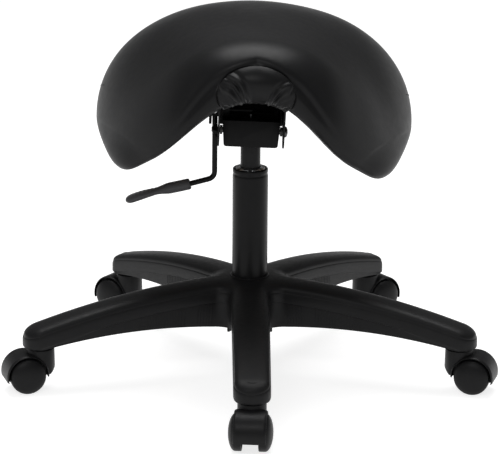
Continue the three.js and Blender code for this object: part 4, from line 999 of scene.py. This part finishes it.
settle(standTube(), "base", "frame_steel", "stand_tube")
settle(guideRing(), "base", "bright_steel", "guide_ring")
settle(hubRing(), "base", "frame_steel", "hub_ring")
settle(pressureTube(), "lift", "frame_steel", "pressure_tube")
settle(taperSocket(), "lift", "frame_steel", "taper_socket")
settle(valveButton(), "valve", "bright_steel", "valve_button")
print("gas lift made")


# Mechanism under the seat

pivotFacts = {
    "y": -25,
    "z": 353,
    "flange": 46.2,
    "head": 7.6,
    "headHeight": 4.2,
    "shank": 4,
    "shankEnd": -46.6,
    "thread": (3.95, 3.55),  # crests and roots
    "threadEnds": (-54.5, -47.0),
    "tail": (-54.9, 3.4),
    "nutEnds": (-53.0, -46.5),
    "nutBore": 4.3,
    "nutCone": 5.9,
    "nutCorner": 7.16,
    "nutFlat": 6.2,
    "spacerEnds": (39.9, 43.3),
    "spacer": (4.5, 6.4),  # bore and outside
}

screwFacts = {
    "foot": 401.5,
    "head": 6.2,
    "headTop": 405.1,
    "shank": 3,
    "top": 423,
    "cross": (3.4, 0.7, 1.3),  # half the length and the width of its cuts, and their depth
    "rows": {"front": -46, "rear": 60},
    "columns": {"left": -33, "right": 33},
    "shift": 3.3,
}


def atPivot(grid, side=1):
    grid = aboutX(grid) * np.array([side, 1, 1])
    return lean(shifted(grid, 0, pivotFacts["y"], pivotFacts["z"]))


def flatTurn(sides):
    # the cosine of the angle from the middle of the nearest of six flats
    angle = np.arange(sides) * 2 * math.pi / sides
    return np.cos((angle % (math.pi / 3)) - math.pi / 6)[:, None]


def pivotBolt():
    # a domed head with a six-sided socket, a plain shank and a short threaded tail
    f = pivotFacts
    face = f["flange"] + 0.3
    r, h = f["head"], f["headHeight"]
    t = np.linspace(0.12, 1, 9) * math.pi / 2
    dome = np.stack([r * np.sin(t[::-1]), face + 0.9 + (h - 0.9) * np.cos(t[::-1])], -1)
    thread = np.arange(*f["threadEnds"], 0.5)
    tail = np.stack([np.where(np.arange(len(thread)) % 2 == 0, *f["thread"]), thread], -1)
    socket = np.array([(2.6, face + h - 0.15), (2.6, face + h - 2.4), (0, face + h - 2.6)])
    end, tip = f["tail"]
    shank = [(f["shank"], f["shankEnd"]), (f["shank"], face), (r, face)]
    profile = np.concatenate([[(0, end), (tip, end)], tail, shank, dome, socket])
    grid = turned(profile, 60)
    grid[:, -3:-1, :2] *= (math.cos(math.pi / 6) / flatTurn(60))[..., None] * 1.12
    return turnedPiece("pivotBolt", atPivot(grid), "blackenedSteel", 30)


def pivotNut():
    # six flats with both ends turned to a cone
    f = pivotFacts
    start, end = f["nutEnds"]
    bore, cone, corner = f["nutBore"], f["nutCone"], f["nutCorner"]
    profile = rounded([
        (bore, start), (cone, start, 0.2), (corner, start + 0.9, 0.2), (corner, end - 0.9, 0.2),
        (cone, end, 0.2), (bore, end), (bore, start)], 0.2, 2)
    grid = turned(profile, 72)
    r = np.hypot(grid[..., 0], grid[..., 1]) / mm
    keep = np.where(r > 5, np.minimum(f["nutFlat"] / flatTurn(72) / np.maximum(r, 1e-6), 1), 1)
    grid[..., :2] *= keep[..., None]
    return turnedPiece("pivotNut", atPivot(grid), "frameSteel", 30)


def pivotSpacer(sideName, side):
    # a washer between the flange and the housing, mirrored for the left
    start, end = pivotFacts["spacerEnds"]
    bore, r = pivotFacts["spacer"]
    profile = rounded([(bore, start), (r, start, 0.3), (r, end, 0.3), (bore, end), (bore, start)], 0.2, 3)
    return turnedPiece("pivotSpacer_" + sideName, atPivot(turned(profile, 56), side), "paleNylon")


def seatScrew(place, x, y):
    # a pan head with a cross cut into it
    f = screwFacts
    r, foot, headTop, shank, top = f["head"], f["foot"], f["headTop"], f["shank"], f["top"]
    profile = rounded([
        (0, foot), (r - 1.6, foot, 1.5), (r, foot + 1.8, 1.2), (r, headTop, 0.2), (shank, headTop, 0),
        (shank, top), (0, top)], 0.4, 4)
    grid = turned(profile, 48)
    px, py = np.abs(grid[..., 0] / mm), np.abs(grid[..., 1] / mm)
    length, width, depth = f["cross"]
    inside = (np.maximum(px, py) < length) & (np.minimum(px, py) < width) & (grid[..., 2] < 402 * mm)
    grid[..., 2] += np.where(inside, depth * mm, 0)
    return turnedPiece("seatScrew_" + place, lean(shifted(grid, x, y, 0)), "brightSteel")


def makeMechanism():
    for name, node, body, bevel in (
            ("mechHousing", "mech_housing", "lift", 0.45),
            ("seatPlate", "seat_plate", "seat", 0.4),
            ("leverBracket", "lever_bracket", "lift", 0.35)):
        settle(cadCopy(name, node, "frameSteel", bevel), body, "frame_steel", node)
    settle(pivotBolt(), "lift", "bright_steel", "pivot_bolt")
    settle(pivotNut(), "lift", "frame_steel", "pivot_nut")
    for sideName, side in (("left", -1), ("right", 1)):
        settle(pivotSpacer(sideName, side), "lift", "pale_plastic", "pivot_spacer_" + sideName)
    f = screwFacts
    for row, y in f["rows"].items():
        for column, x in f["columns"].items():
            place = row + "_" + column
            settle(seatScrew(place, x + f["shift"], y), "seat", "bright_steel", "seat_screw_" + place)


makeMechanism()
print("mechanism made")


# Lift lever

leverFacts = {
    "rod": 3.8,
    "x": -51.3,
    "pivot": 375.5,
    "innerEnd": 2,
    "corner": (-48.3, 277),
    "fall": math.radians(17.2),
    "endLength": 0.8,
    "eye": (2.9, 5.6, 5),  # bore, outside and half length
    "pinHead": (3.8, 9.6),  # radius and half the pin's length
    "pinShank": (2.5, 8.1),
    "gripStart": 35,
    "gripLength": 94.5,
    "rodInGrip": 34,
    "boss": 8.0,
    "bladeHalf": 14.3,
    "bladeThick": 4.2,
    "bow": 1.7,
    "ridges": 16,
    "ridgeHeight": 0.22,
}


def leverWay():
    # the grip's direction, down and out to the left
    fall = leverFacts["fall"]
    return np.array([-math.cos(fall), -math.sin(fall)])


def rodAlong(path, radius, sides=24):
    # circles of the radius along a path in the plane Y = 0, each square to the path
    along = unit(np.gradient(path, axis=0))
    angle = np.arange(sides) * 2 * math.pi / sides
    up = np.sin(angle)[None] * radius[:, None]
    wide = np.cos(angle)[None] * radius[:, None]
    x = path[:, :1] - along[:, 1:] * up
    z = path[:, 1:] + along[:, :1] * up
    return np.stack([x, wide, z], -1) * mm


def liftLever():
    # a bent rod, closed at both ends, and the short round eye about its pin
    f = leverFacts
    down = leverWay()
    end = np.array(f["corner"]) + down * (f["gripStart"] + f["rodInGrip"])
    path = rounded([
        (f["innerEnd"], f["pivot"]), (f["x"], f["pivot"], 8), (*f["corner"], 9.5), tuple(end)], 8, 12)
    first, last = path[:1] - [[f["endLength"], 0]], path[-1:] - down * f["endLength"]
    path = np.concatenate([path[:1], first, path[1:-1], last, path[-1:]])
    radius = np.full(len(path), f["rod"])
    radius[[0, -1]] = 0.01
    bore, r, half = f["eye"]
    eye = rounded([
        (bore, -half), (r, -half, 0.8), (r, half, 0.8), (bore, half, 0.3), (bore, -half)], 0.3, 4)
    eye = shifted(aboutY(turned(eye, 48)), f["x"], 0, f["pivot"])
    return [(lean(rodAlong(path, radius)), False, True), (lean(eye), True, False)]


def leverGrip():
    # a paddle: a round boss that widens and thins into a blade, with a faint bow and a rounded end
    f = leverFacts
    nearBoss = [0, 0.002, 0.008, 0.02]
    s = np.concatenate([nearBoss, np.linspace(0.04, 0.9, 48),
                        0.9 + 0.1 * np.sin(np.linspace(0, math.pi / 2, 13)[1:])])
    thin, blade = eased(np.clip((s - 0.3) / 0.25, 0, 1)), eased(np.clip((s - 0.35) / 0.45, 0, 1))
    past = np.clip((s - 0.86) / 0.14, 0, 1)
    ending = np.maximum(1 - past ** 2.4, 0) ** (1 / 2.4)
    starting = np.interp(s, [*nearBoss, 0.04], [0.0, 0.78, 0.9, 0.97, 1.0])
    thick = (f["boss"] + (f["bladeThick"] - f["boss"]) * thin + 0.7 * blade) * starting * ending
    wide = (f["boss"] + (f["bladeHalf"] - f["boss"]) * blade) * starting * ending
    down = leverWay()
    normal = np.array([-down[1], down[0]])
    start = np.array(f["corner"]) + down * f["gripStart"]
    bow = -f["bow"] * np.sin(math.pi * np.clip(s / 0.93, 0, 1) ** 1.35)
    path = start + down * (s * f["gripLength"])[:, None] + normal * bow[:, None]
    # each section goes from a circle at the boss to a fuller oval in the blade
    sides = 56
    angle = np.arange(sides) * 2 * math.pi / sides
    power = 1 - 0.22 * blade[:, None]
    c, q = np.cos(angle)[None], np.sin(angle)[None]
    across = np.sign(c) * np.abs(c) ** power * wide[:, None]
    up = np.sign(q) * np.abs(q) ** power * thick[:, None]
    # finger ridges across the blade's underside
    ridge = np.sin(s * 2 * math.pi * f["ridges"])[:, None] * (q < -0.4)
    ridge = ridge * np.clip((s - 0.5) / 0.05, 0, 1)[:, None] * np.clip((0.88 - s) / 0.05, 0, 1)[:, None]
    up = up - f["ridgeHeight"] * ridge
    x = path[:, :1] - down[1] * up
    z = path[:, 1:] + down[0] * up
    return [(lean(np.stack([x, across, z], -1) * mm), False, True)]


def leverPin():
    # a pin with a wide flat head at the front
    f = leverFacts
    (head, end), (r, shoulder) = f["pinHead"], f["pinShank"]
    profile = rounded([
        (0, -end), (head, -end, 0.5), (head, -shoulder, 0.2), (r, -shoulder, 0), (r, shoulder, 0),
        (r - 0.3, end, 0.4), (0, end)], 0.3, 3)
    return lean(shifted(aboutY(turned(profile, 40)), f["x"], 0, f["pivot"]))


settle(meshPiece("liftLever", liftLever(), looks["tubeSteel"]), "lever", "frame_steel", "lift_lever")
settle(meshPiece("leverGrip", leverGrip(), looks["gripPlastic"], 50), "lever", "grip_plastic", "lever_grip")
settle(turnedPiece("leverPin", leverPin(), "brightSteel"), "lift", "bright_steel", "lever_pin")
print("lever made")


# Saddle

saddleFacts = {
    "offset": 4.6,
    "tip": (199.8, 303),
    "front": (446.5, 84, 102, math.radians(77)),  # height, reach, tip handle, tip angle
    "rear": (476.5, 207, 57.5, math.radians(-46)),
    "frontDepth": 163.5,
    "rearDepth": 195.5,
    "planShape": 1.8,
    "frontThick": 62,
    "noseThick": 26,  # more in the middle
    "rearThick": 66,
    "thickShape": 2.43,
    "edgeShape": 0.75,
    "noseDraw": 20,  # by which the front is drawn back in the middle
    "noseSpread": 0.42,
    "noseStart": 0.60,  # where the nose begins, as a share of the way to the front
    "noseShare": 0.17,  # of the upper front's angle that the level part takes
    "sag": (7.0, -3.0),  # down, of the right and the left lobe's underside
    "sagPlace": 0.62,
    "sagSpread": 0.3,
    "capFrom": 0.79,  # from here to the tip the lobe's end is drawn round
    "capTurn": math.radians(55),  # down from level, the way the tip points
    "capLength": 37.7,
    "capStart": 0.68,
    "capFull": 0.68,
    "bandTop": math.radians(152),
    "bandFall": math.radians(22),
    "bandReach": 0.25,
    "bandAbove": math.radians(6),
    "bandBelow": math.radians(8),
    "bandDepth": 4.6,
    "bandShares": (0.85, 0.5),  # of the depth, back along the seat and into it
    "panTip": 0.752,
    "panFront": 0.187,
    "panRear": 0.873,
    "panDepth": 13.5,
}


def arch(settings, p):
    # half a cubic curve from the crest to the lobe's tip, and its mirror image, with its direction
    height, reach, handle, angle = settings
    tip = np.array(saddleFacts["tip"], float)
    corners = np.array([
        (0, height), (reach, height),
        (tip[0] - handle * math.sin(angle), tip[1] + handle * math.cos(angle)), tip])
    t = np.abs(p)[..., None]
    at = cubic(t, corners)
    along = unit(3 * ((1 - t) ** 2 * (corners[1] - corners[0]) + 2 * (1 - t) * t * (corners[2] - corners[1])
                      + t ** 2 * (corners[3] - corners[2])))
    side = np.where(p < 0, -1.0, 1.0)
    return (np.stack([at[..., 0] * side, at[..., 1]], -1),
            np.stack([along[..., 0], along[..., 1] * side], -1))


def middleShare(p):
    # 1 in the middle of the seat, none at its lobes
    return np.exp(-(p / saddleFacts["noseSpread"]) ** 4)


def saddlePoint(p, t, share, length):
    # p runs from lobe to lobe and t from front to rear; share is of half the thickness, plus a length
    f = saddleFacts
    p, t, share, length = np.broadcast_arrays(p, t, share, length)
    s = np.minimum(np.abs(p), 1)
    plan = np.maximum(1 - s ** f["planShape"], 0) ** (1 / f["planShape"])
    thin = np.maximum(1 - s ** f["thickShape"], 0) ** (1 / f["thickShape"])
    frontAt, frontAlong = arch(f["front"], p)
    rearAt, rearAlong = arch(f["rear"], p)
    at = frontAt + (rearAt - frontAt) * t[..., None]
    along = unit(frontAlong + (rearAlong - frontAlong) * t[..., None])
    front = f["frontThick"] + f["noseThick"] * middleShare(p)
    thick = thin * (front + (f["rearThick"] - front) * t)
    n = share * thick / 2 + length
    depth = f["frontDepth"] - f["noseDraw"] * middleShare(p)
    y = -depth * plan * (1 - t) + f["rearDepth"] * plan * t
    return np.stack([f["offset"] + at[..., 0] - along[..., 1] * n, y, at[..., 1] + along[..., 0] * n], -1)


def saddleLean(points):
    return lean(points * mm, leanFacts["saddle"])


def powered(value):
    # a superellipse's share of a sine or cosine, with its sign
    return np.sign(value) * np.abs(value) ** saddleFacts["edgeShape"]


def bandDip(p, a):
    # how far the cover is drawn in along a band under the front edge, steeply above and softly below.
    # The band starts high in the middle and comes down towards the lobes, where it fades out.
    f = saddleFacts
    off = a - f["bandTop"] - f["bandFall"] * (1 - np.exp(-np.abs(p) / f["bandReach"]))
    width = np.where(off < 0, f["bandAbove"], f["bandBelow"])
    fade = np.clip((0.9 - np.abs(p)) / 0.5, 0, 1)
    return f["bandDepth"] * np.exp(-(off / width) ** 2) * fade * fade * (3 - 2 * fade)


def skinPoint(p, a, lift=0.0):
    # a closed superellipse round each section, drawn in along the band: mostly back along the seat and
    # less into it. In the middle the upper front runs level to the nose, a quarter of an ellipse. The
    # lobes' undersides are let down or drawn up by the sag.
    f = saddleFacts
    p, a = np.broadcast_arrays(p, a)
    reach, height = powered(np.cos(a)), powered(np.sin(a))
    u = np.clip((a - math.pi / 2) / (math.pi / 2), 0, 1)
    nose = np.clip((u - f["noseShare"]) / (1 - f["noseShare"]), 0, 1) * math.pi / 2
    flat = np.minimum(u / f["noseShare"], 1)
    upper = middleShare(p) * ((a > math.pi / 2) & (a < math.pi))
    reach = reach + upper * (-f["noseStart"] * flat - (1 - f["noseStart"]) * np.sin(nose) - reach)
    height = height + upper * (np.cos(nose) - height)
    hang = 0
    for side, depth in zip((1, -1), f["sag"]):
        hang = hang + depth * np.exp(-((p * side - f["sagPlace"]) / f["sagSpread"]) ** 2)
    hang = hang * np.clip(-np.sin(a), 0, 1) * np.clip((1 - np.abs(p)) * 5, 0, 1)
    dip = bandDip(p, a)
    along = 0.5 + reach / 2 + f["bandShares"][0] * dip / (f["frontDepth"] + f["rearDepth"])
    return saddlePoint(p, along, height, lift - f["bandShares"][1] * dip - hang)


def skinNormal(p, a):
    step = 0.002
    p = np.clip(p, -0.996, 0.996)
    across = skinPoint(p + step, a) - skinPoint(p - step, a)
    around = skinPoint(p, a + step) - skinPoint(p, a - step)
    return unit(-np.cross(across, around))


gussetFacts = {
    "half": 0.27,
    "top": math.radians(155),
    "fall": math.radians(42),
    "low": math.radians(250),
    "inset": 1.6,
    "proud": 2.6,
    "hang": 5.5,
    "steps": (170, 110),
    "groove": 1.8,
    "grooveShare": 0.03,
    "bulge": 5.5,
    "bulgeEnd": 0.62,  # shares of the way down
    "hangFull": 0.7,
    "turnIn": (0.78, 0.22),  # where its foot starts to turn in, and over what share
    "edge": 0.03,  # share of its size over which it rises from the seam
    "sideSeam": 0.655,
    "sideEnd": math.radians(56),
    "folds": [
        # start across and down, end across and down, width, height, bow
        (-0.49, 0.04, -0.20, 0.42, 0.036, 3.2, 0.03), (-0.72, 0.10, -0.42, 0.55, 0.040, 2.8, 0.03),
        (-0.60, 0.05, -0.36, 0.34, 0.024, 1.5, 0.02), (-0.34, 0.28, -0.24, 0.52, 0.030, 1.4, 0.02),
        (0.68, 0.05, 0.36, 0.58, 0.040, 3.2, -0.07), (0.70, 0.12, 0.54, 0.38, 0.032, 2.3, -0.03),
        (0.88, 0.18, 0.74, 0.46, 0.036, 1.8, -0.02), (-0.88, 0.20, -0.70, 0.50, 0.036, 1.6, 0.02)],
}


def gussetTop(share):
    # half an ellipse from side to side over the arch
    f = gussetFacts
    return f["top"] + f["fall"] * (1 - np.sqrt(np.maximum(1 - share ** 2, 0)))


def lobeCap(side, p, columns):
    # the lobe's round end: from each point of the last section a cubic curve that starts along the skin
    # and ends flat at the tip, so that all the curves meet in one plane there
    f = saddleFacts
    start = side * f["capFrom"]
    ring = skinPoint(start, columns)
    along = unit(skinPoint(start + side * 0.002, columns) - ring)
    out = np.array([side * math.cos(f["capTurn"]), 0, -math.sin(f["capTurn"])])
    tip = ring.mean(0) + out * f["capLength"]
    fromTip = ring - tip
    depth = -(fromTip @ out)
    spread = fromTip - (fromTip @ out)[:, None] * out
    handle = along * (f["capStart"] * depth)[:, None]
    t = (np.abs(p) - f["capFrom"]) / (1 - f["capFrom"])
    return cubic(t[:, None, None], [ring, ring + handle, tip + spread * f["capFull"], tip + 0 * ring])


def closedPatch(outer, inner):
    # the grids of a patch's two sides and of the wall round its edge, leaning with the saddle
    rim = [np.concatenate([g[:, 0], g[-1, 1:], g[-2::-1, -1], g[0, -2:0:-1]]) for g in (outer, inner)]
    return [(saddleLean(outer), False, False), (saddleLean(inner), False, False),
            (saddleLean(np.stack(rim)), False, True)]


coverFacts = {
    "rows": 320,
    "columns": 210,
    "rowShares": ((0, 0.13, 0.27, 0.73, 0.87, 1), (-1, -0.79, -0.34, 0.34, 0.79, 1)),
    "columnShares": ((0, 0.25, 0.70, 1), (0, 118, 212, 360)),  # degrees; closer over the band
    "swell": (0.30, 0.12),  # heights of the slow and the quicker swells
    "gather": 0.55,
    "gatherAt": ((252, 20), (292, 18)),  # degrees round the section, and spread
    "pucker": 0.5,
    "puckerAt": (228, 13),
    "pan": (60, 14),  # steps along and across the pan's room
}


def bell(a, degrees, spread):
    # a bell curve of the angle round the section, about so many degrees
    return np.exp(-((a - math.radians(degrees)) / math.radians(spread)) ** 2)


def seatCushion():
    # the skin swept round its section from lobe to lobe, with slow swells, gathers where the cover is
    # drawn under, a few puckers and a groove where the sewn-in piece starts, all along the skin's normal
    f, c, g = saddleFacts, coverFacts, gussetFacts
    p = np.interp(np.linspace(0, 1, c["rows"]), *c["rowShares"])
    shares, degrees = c["columnShares"]
    a = np.interp(np.arange(c["columns"]) / c["columns"], shares, np.radians(degrees))
    P, A = np.meshgrid(p[1:-1], a, indexing="ij")
    skin = skinPoint(P, A)
    X, Y = skin[..., 0], skin[..., 1]
    slow, quick = c["swell"]
    swell = slow * np.sin(X / 31 + 1.3 * np.sin(Y / 43)) * np.sin(Y / 37 + 0.8)
    swell = swell + quick * np.sin(X / 17 + Y / 23)
    under = bell(A, *c["gatherAt"][0]) + bell(A, *c["gatherAt"][1])
    gather = c["gather"] * np.sin(P * 95 + 2.2 * np.sin(P * 13)) * under * (1 - P ** 2)
    pucker = c["pucker"] * np.sin(P * 60 + 3 * np.sin(P * 9 + 1)) * bell(A, *c["puckerAt"])
    pucker = pucker * np.clip((np.abs(P) - 0.3) * 4, 0, 1)
    fromSeam = np.hypot(P / g["half"], (g["top"] + g["fall"] - A) / g["fall"]) - 1
    groove = g["groove"] * np.exp(-(fromSeam / g["grooveShare"]) ** 2) * (A < g["top"] + g["fall"])
    height = swell * np.clip((1 - np.abs(P)) * 6, 0, 1) + gather + pucker - groove
    skin = skin + skinNormal(P, A) * height[..., None]
    low, high = p < -f["capFrom"], p > f["capFrom"]
    grid = saddleLean(np.concatenate([
        lobeCap(-1, p[low], a), skin[(~low & ~high)[1:-1]], lobeCap(1, p[high], a)]))
    cushion = meshPiece("seatCushion", [(grid, False, True)], looks["seatVinyl"], 60)
    # the room for the pan: a patch of the seat between two shares of its length and depth
    n, m = c["pan"]
    along = np.linspace(-f["panTip"], f["panTip"], n)[:, None]
    back = np.linspace(f["panFront"], f["panRear"], m)[None]
    room = closedPatch(saddlePoint(along, back, -1.0, -6.0), saddlePoint(along, back, -1.0, f["panDepth"]))
    combine(cushion, meshPiece("panRoom", room, looks["seatVinyl"]), "DIFFERENCE")
    smooth(cushion, 55)
    return cushion


def frontGusset():
    # the sewn-in piece under the arch: it bulges from its seam and hangs in folds that run down and in,
    # each a ridge with a shallow valley round it. It fills out towards its foot, where it turns in.
    f = gussetFacts
    rows, columns = f["steps"]
    share = np.linspace(-1, 1, rows)[:, None]
    down = np.linspace(0, 1, columns)[None]
    a = gussetTop(share) + (f["low"] - gussetTop(share)) * down
    p = share * f["half"] + 0 * down
    rise = np.minimum(down / f["edge"], 1) * np.minimum((1 - np.abs(share)) / f["edge"], 1)
    edge = np.sin(rise * math.pi / 2)
    skin, normal = skinPoint(p, a), skinNormal(p, a)
    S, D = np.broadcast_arrays(share, down)
    foot = np.sqrt(np.maximum(1 - np.clip((D - f["turnIn"][0]) / f["turnIn"][1], 0, 1) ** 2, 0))
    full = np.clip(D / f["hangFull"], 0, 1)
    lift = edge * (f["proud"] + (f["hang"] - f["proud"]) * full ** 2 * (1 - S ** 2))
    lift = lift + bandDip(p, a) * 0.5 * edge
    bulge = np.sin(math.pi * np.clip(D / f["bulgeEnd"], 0, 1))
    lift = lift + f["bulge"] * bulge * np.cos(S * math.pi / 2) * edge
    for s0, d0, s1, d1, width, height, bowed in f["folds"]:
        wayS, wayD = s1 - s0, d1 - d0
        t = np.clip(((S - s0) * wayS + (D - d0) * wayD) / (wayS ** 2 + wayD ** 2), 0, 1)
        off = np.hypot(S - s0 - wayS * t - bowed * np.sin(math.pi * t), (D - d0 - wayD * t) * 0.5)
        swell = np.sin(math.pi * (0.12 + 0.76 * t))
        lift = lift + edge * height * np.exp(-(off / width) ** 2) * swell
        lift = lift - edge * 0.55 * height * np.exp(-((off - 1.5 * width) / (0.8 * width)) ** 2) * swell
    hem = np.cos(S * 26 + 2 * np.sin(S * 7)) * np.clip((D - 0.55) / 0.3, 0, 1) * edge
    outer = skin + normal * ((lift + hem) * foot - f["inset"] * (1 - edge * foot))[..., None]
    return meshPiece("frontGusset", closedPatch(outer, skin - normal * f["inset"]), looks["seatVinyl"], 60)


stitchFacts = {
    "length": 2.6,
    "gap": 1.5,
    "radius": 0.42,
    "away": 2.6,
    "profile": ((0.0, 0.04, 0.2, 0.5, 0.8, 0.96, 1.0), (0.02, 0.6, 0.95, 1.0, 0.95, 0.6, 0.02)),
    "lift": (0.15, 0.25),  # at a stitch's ends, and what its middle adds
    "cord": 0.9,
    "sunk": 0.7,
}


def ringsRound(middle, side, up, radius, sides, lift=0.0):
    # circles round the points of a line on the skin, square to it and lifted along the skin's normal
    angle = np.arange(sides) * 2 * math.pi / sides
    wide = np.cos(angle)[None, :, None] * radius[:, None, None]
    high = np.sin(angle)[None, :, None] * radius[:, None, None] + lift
    return middle[:, None] + side[:, None] * wide + up[:, None] * high


def stitchesAlong(pPath, aPath, away):
    # short capsules of thread laid along a line on the skin, with their ends sunk in it
    f = stitchFacts
    line = skinPoint(pPath, aPath)
    normal = skinNormal(pPath, aPath)
    step = np.linalg.norm(np.diff(line, axis=0), axis=1)
    length = np.concatenate([[0], np.cumsum(step)])
    grids = []
    u, shape = np.array(f["profile"])
    for start in np.arange(1, length[-1] - f["length"], f["length"] + f["gap"]):
        at = start + u * f["length"]
        middle = np.stack([np.interp(at, length, line[:, k]) for k in range(3)], -1)
        up = unit(np.stack([np.interp(at, length, normal[:, k]) for k in range(3)], -1))
        side = np.cross(unit(np.gradient(middle, axis=0)), up)
        middle = middle + side * away + up * (f["lift"][0] + f["lift"][1] * np.sin(math.pi * u))[:, None]
        grids.append((saddleLean(ringsRound(middle, side, up, f["radius"] * shape, 6)), False, True))
    return grids


def seamCord():
    # the seam round the sewn-in piece: a thin round cord that is mostly sunk, coloured near black as
    # painted shade of the crevice between the skin and the sewn-in piece
    f = stitchFacts
    share = np.sin(np.linspace(-math.pi / 2, math.pi / 2, 160))
    seam = share * gussetFacts["half"], gussetTop(share)
    line, up = skinPoint(*seam), skinNormal(*seam)
    side = np.cross(unit(np.gradient(line, axis=0)), up)
    radius = np.full(len(share), f["cord"])
    radius[[0, -1]] = 0.01
    return saddleLean(ringsRound(line, side, up, radius, 8, -f["sunk"]))


def seatStitches():
    f = gussetFacts
    share = np.linspace(-0.97, 0.97, 400)
    grids = stitchesAlong(share * f["half"], gussetTop(share), stitchFacts["away"])
    for side in (-1, 1):
        a = np.linspace(math.radians(2), f["sideEnd"], 300)
        grids += stitchesAlong(side * (f["sideSeam"] - 0.03 * (a / f["sideEnd"]) ** 2), a, 0.0)
    return meshPiece("seatStitches", grids, looks["seamThread"], 60)


cushion = seatCushion()
settle(cushion, "seat", "seat_vinyl", "seat_cushion")
print("cushion made")
gusset = frontGusset()
settle(gusset, "seat", "seat_vinyl", "front_gusset")
settle(seatStitches(), "seat", "seat_vinyl")
# the cord is near black: painted shade of the seam's crevice
settle(meshPiece("gussetSeamShade", [(seamCord(), False, True)], looks["gussetSeamShade"], 60), "seat", "seat_vinyl")
print("saddle made")


# Materials of the CAD pieces that stay as they are

carried = {
    "tube_bushing": "paleNylon",
    "thrust_washer_lower": "brightSteel",
    "thrust_bearing": "brightSteel",
    "thrust_washer_upper": "brightSteel",
    "rubber_bumper": "blackRubber",
    "piston_rod": "brightSteel",
    "piston": "brightSteel",
    "rod_clip": "brightSteel",
    "rod_guide": "blackRubber",
    "seat_pan": "seatPlywood",
}
for node, look in carried.items():
    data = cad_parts[node].data
    data.materials.clear()
    data.materials.append(looks[look])
print("carried pieces dressed")


# Floor and lights

stageFacts = {
    "floorSize": 16,
    "floorWhite": 0.55,
    "floorGlow": 0.78,  # what the camera sees added to the lit floor
    "worldWhite": 1.0,  # at the horizon, where the floor meets it
    "worldHigh": 0.10,
    "horizon": (0.03, 0.16),  # sines of the heights between which the white fades
    "worldLight": 0.28,
    "lamps": [
        # name, place, size, power, aimed at
        ("topLight", (0.0, 0.7, 2.45), (2.1, 1.4), 46, (0, 0, 0.3)),
        ("frontLight", (-0.5, -2.4, 2.3), (1.4, 0.6), 17, (0, 0, 0.35)),
        ("leftLight", (-2.6, -0.7, 1.5), (0.9, 1.8), 3, (0, 0, 0.25)),
        ("rightLight", (2.6, -0.7, 1.5), (0.9, 1.8), 1, (0, 0, 0.25)),
    ],
}


def seenRays(tree, path):
    # 1 for the camera's rays and for those that a mirror or a clear piece sends on
    total = path.outputs["Is Camera Ray"]
    for name in ("Is Glossy Ray", "Is Transmission Ray"):
        more = tree.nodes.new("ShaderNodeMath")
        more.operation = "MAXIMUM"
        tree.links.new(total, more.inputs[0])
        tree.links.new(path.outputs[name], more.inputs[1])
        total = more.outputs[0]
    return total


def makeFloor():
    size = stageFacts["floorSize"]
    mesh = bpy.data.meshes.new("floor")
    corners = [(-size, -size, 0), (size, -size, 0), (size, size, 0), (-size, size, 0)]
    mesh.from_pydata(corners, [], [(0, 1, 2, 3)])
    floor = bpy.data.objects.new("floor", mesh)
    scene.collection.objects.link(floor)
    n = Nodes("paleFloor")
    white = (*[stageFacts["floorWhite"]] * 3, 1)
    lit = n.add("ShaderNodeBsdfDiffuse", Color=white)
    glow = n.add("ShaderNodeEmission", Strength=stageFacts["floorGlow"])
    both = n.add("ShaderNodeAddShader")
    n.link(lit.outputs[0], both.inputs[0])
    n.link(glow.outputs[0], both.inputs[1])
    path = n.add("ShaderNodeLightPath")
    mix = n.add("ShaderNodeMixShader")
    n.link(seenRays(n.tree, path), mix.inputs[0])
    n.link(lit.outputs[0], mix.inputs[1])
    n.link(both.outputs[0], mix.inputs[2])
    n.link(mix.outputs[0], n.out.inputs["Surface"])
    mesh.materials.append(n.material)


def makeWorld():
    world = bpy.data.worlds.new("studio")
    scene.world = world
    world.use_nodes = True
    tree = world.node_tree
    tree.nodes.clear()
    out = tree.nodes.new("ShaderNodeOutputWorld")
    seen = tree.nodes.new("ShaderNodeBackground")
    way = tree.nodes.new("ShaderNodeSeparateXYZ")
    tree.links.new(tree.nodes.new("ShaderNodeTexCoord").outputs["Generated"], way.inputs["Vector"])
    fade = tree.nodes.new("ShaderNodeMapRange")
    fade.inputs["From Min"].default_value, fade.inputs["From Max"].default_value = stageFacts["horizon"]
    fade.inputs["To Min"].default_value = stageFacts["worldWhite"]
    fade.inputs["To Max"].default_value = stageFacts["worldHigh"]
    tree.links.new(way.outputs["Z"], fade.inputs["Value"])
    tree.links.new(fade.outputs["Result"], seen.inputs["Strength"])
    light = tree.nodes.new("ShaderNodeBackground")
    light.inputs["Strength"].default_value = stageFacts["worldLight"]
    path = tree.nodes.new("ShaderNodeLightPath")
    mix = tree.nodes.new("ShaderNodeMixShader")
    for node in (seen, light):
        node.inputs["Color"].default_value = (1, 1, 1, 1)
    tree.links.new(seenRays(tree, path), mix.inputs[0])
    tree.links.new(light.outputs[0], mix.inputs[1])
    tree.links.new(seen.outputs[0], mix.inputs[2])
    tree.links.new(mix.outputs[0], out.inputs["Surface"])


def makeLamps():
    for name, place, size, watts, target in stageFacts["lamps"]:
        lamp = bpy.data.lights.new(name, "AREA")
        lamp.shape = "RECTANGLE"
        lamp.size, lamp.size_y = size
        lamp.energy = watts
        holder = bpy.data.objects.new(name, lamp)
        holder.location = place
        way = np.array(target, float) - np.array(place, float)
        distance = np.linalg.norm(way)
        holder.rotation_euler = (
            math.acos(-way[2] / distance), 0, math.atan2(way[1], way[0]) - math.pi / 2)
        scene.collection.objects.link(holder)


makeFloor()
makeWorld()
makeLamps()
print("stage made")
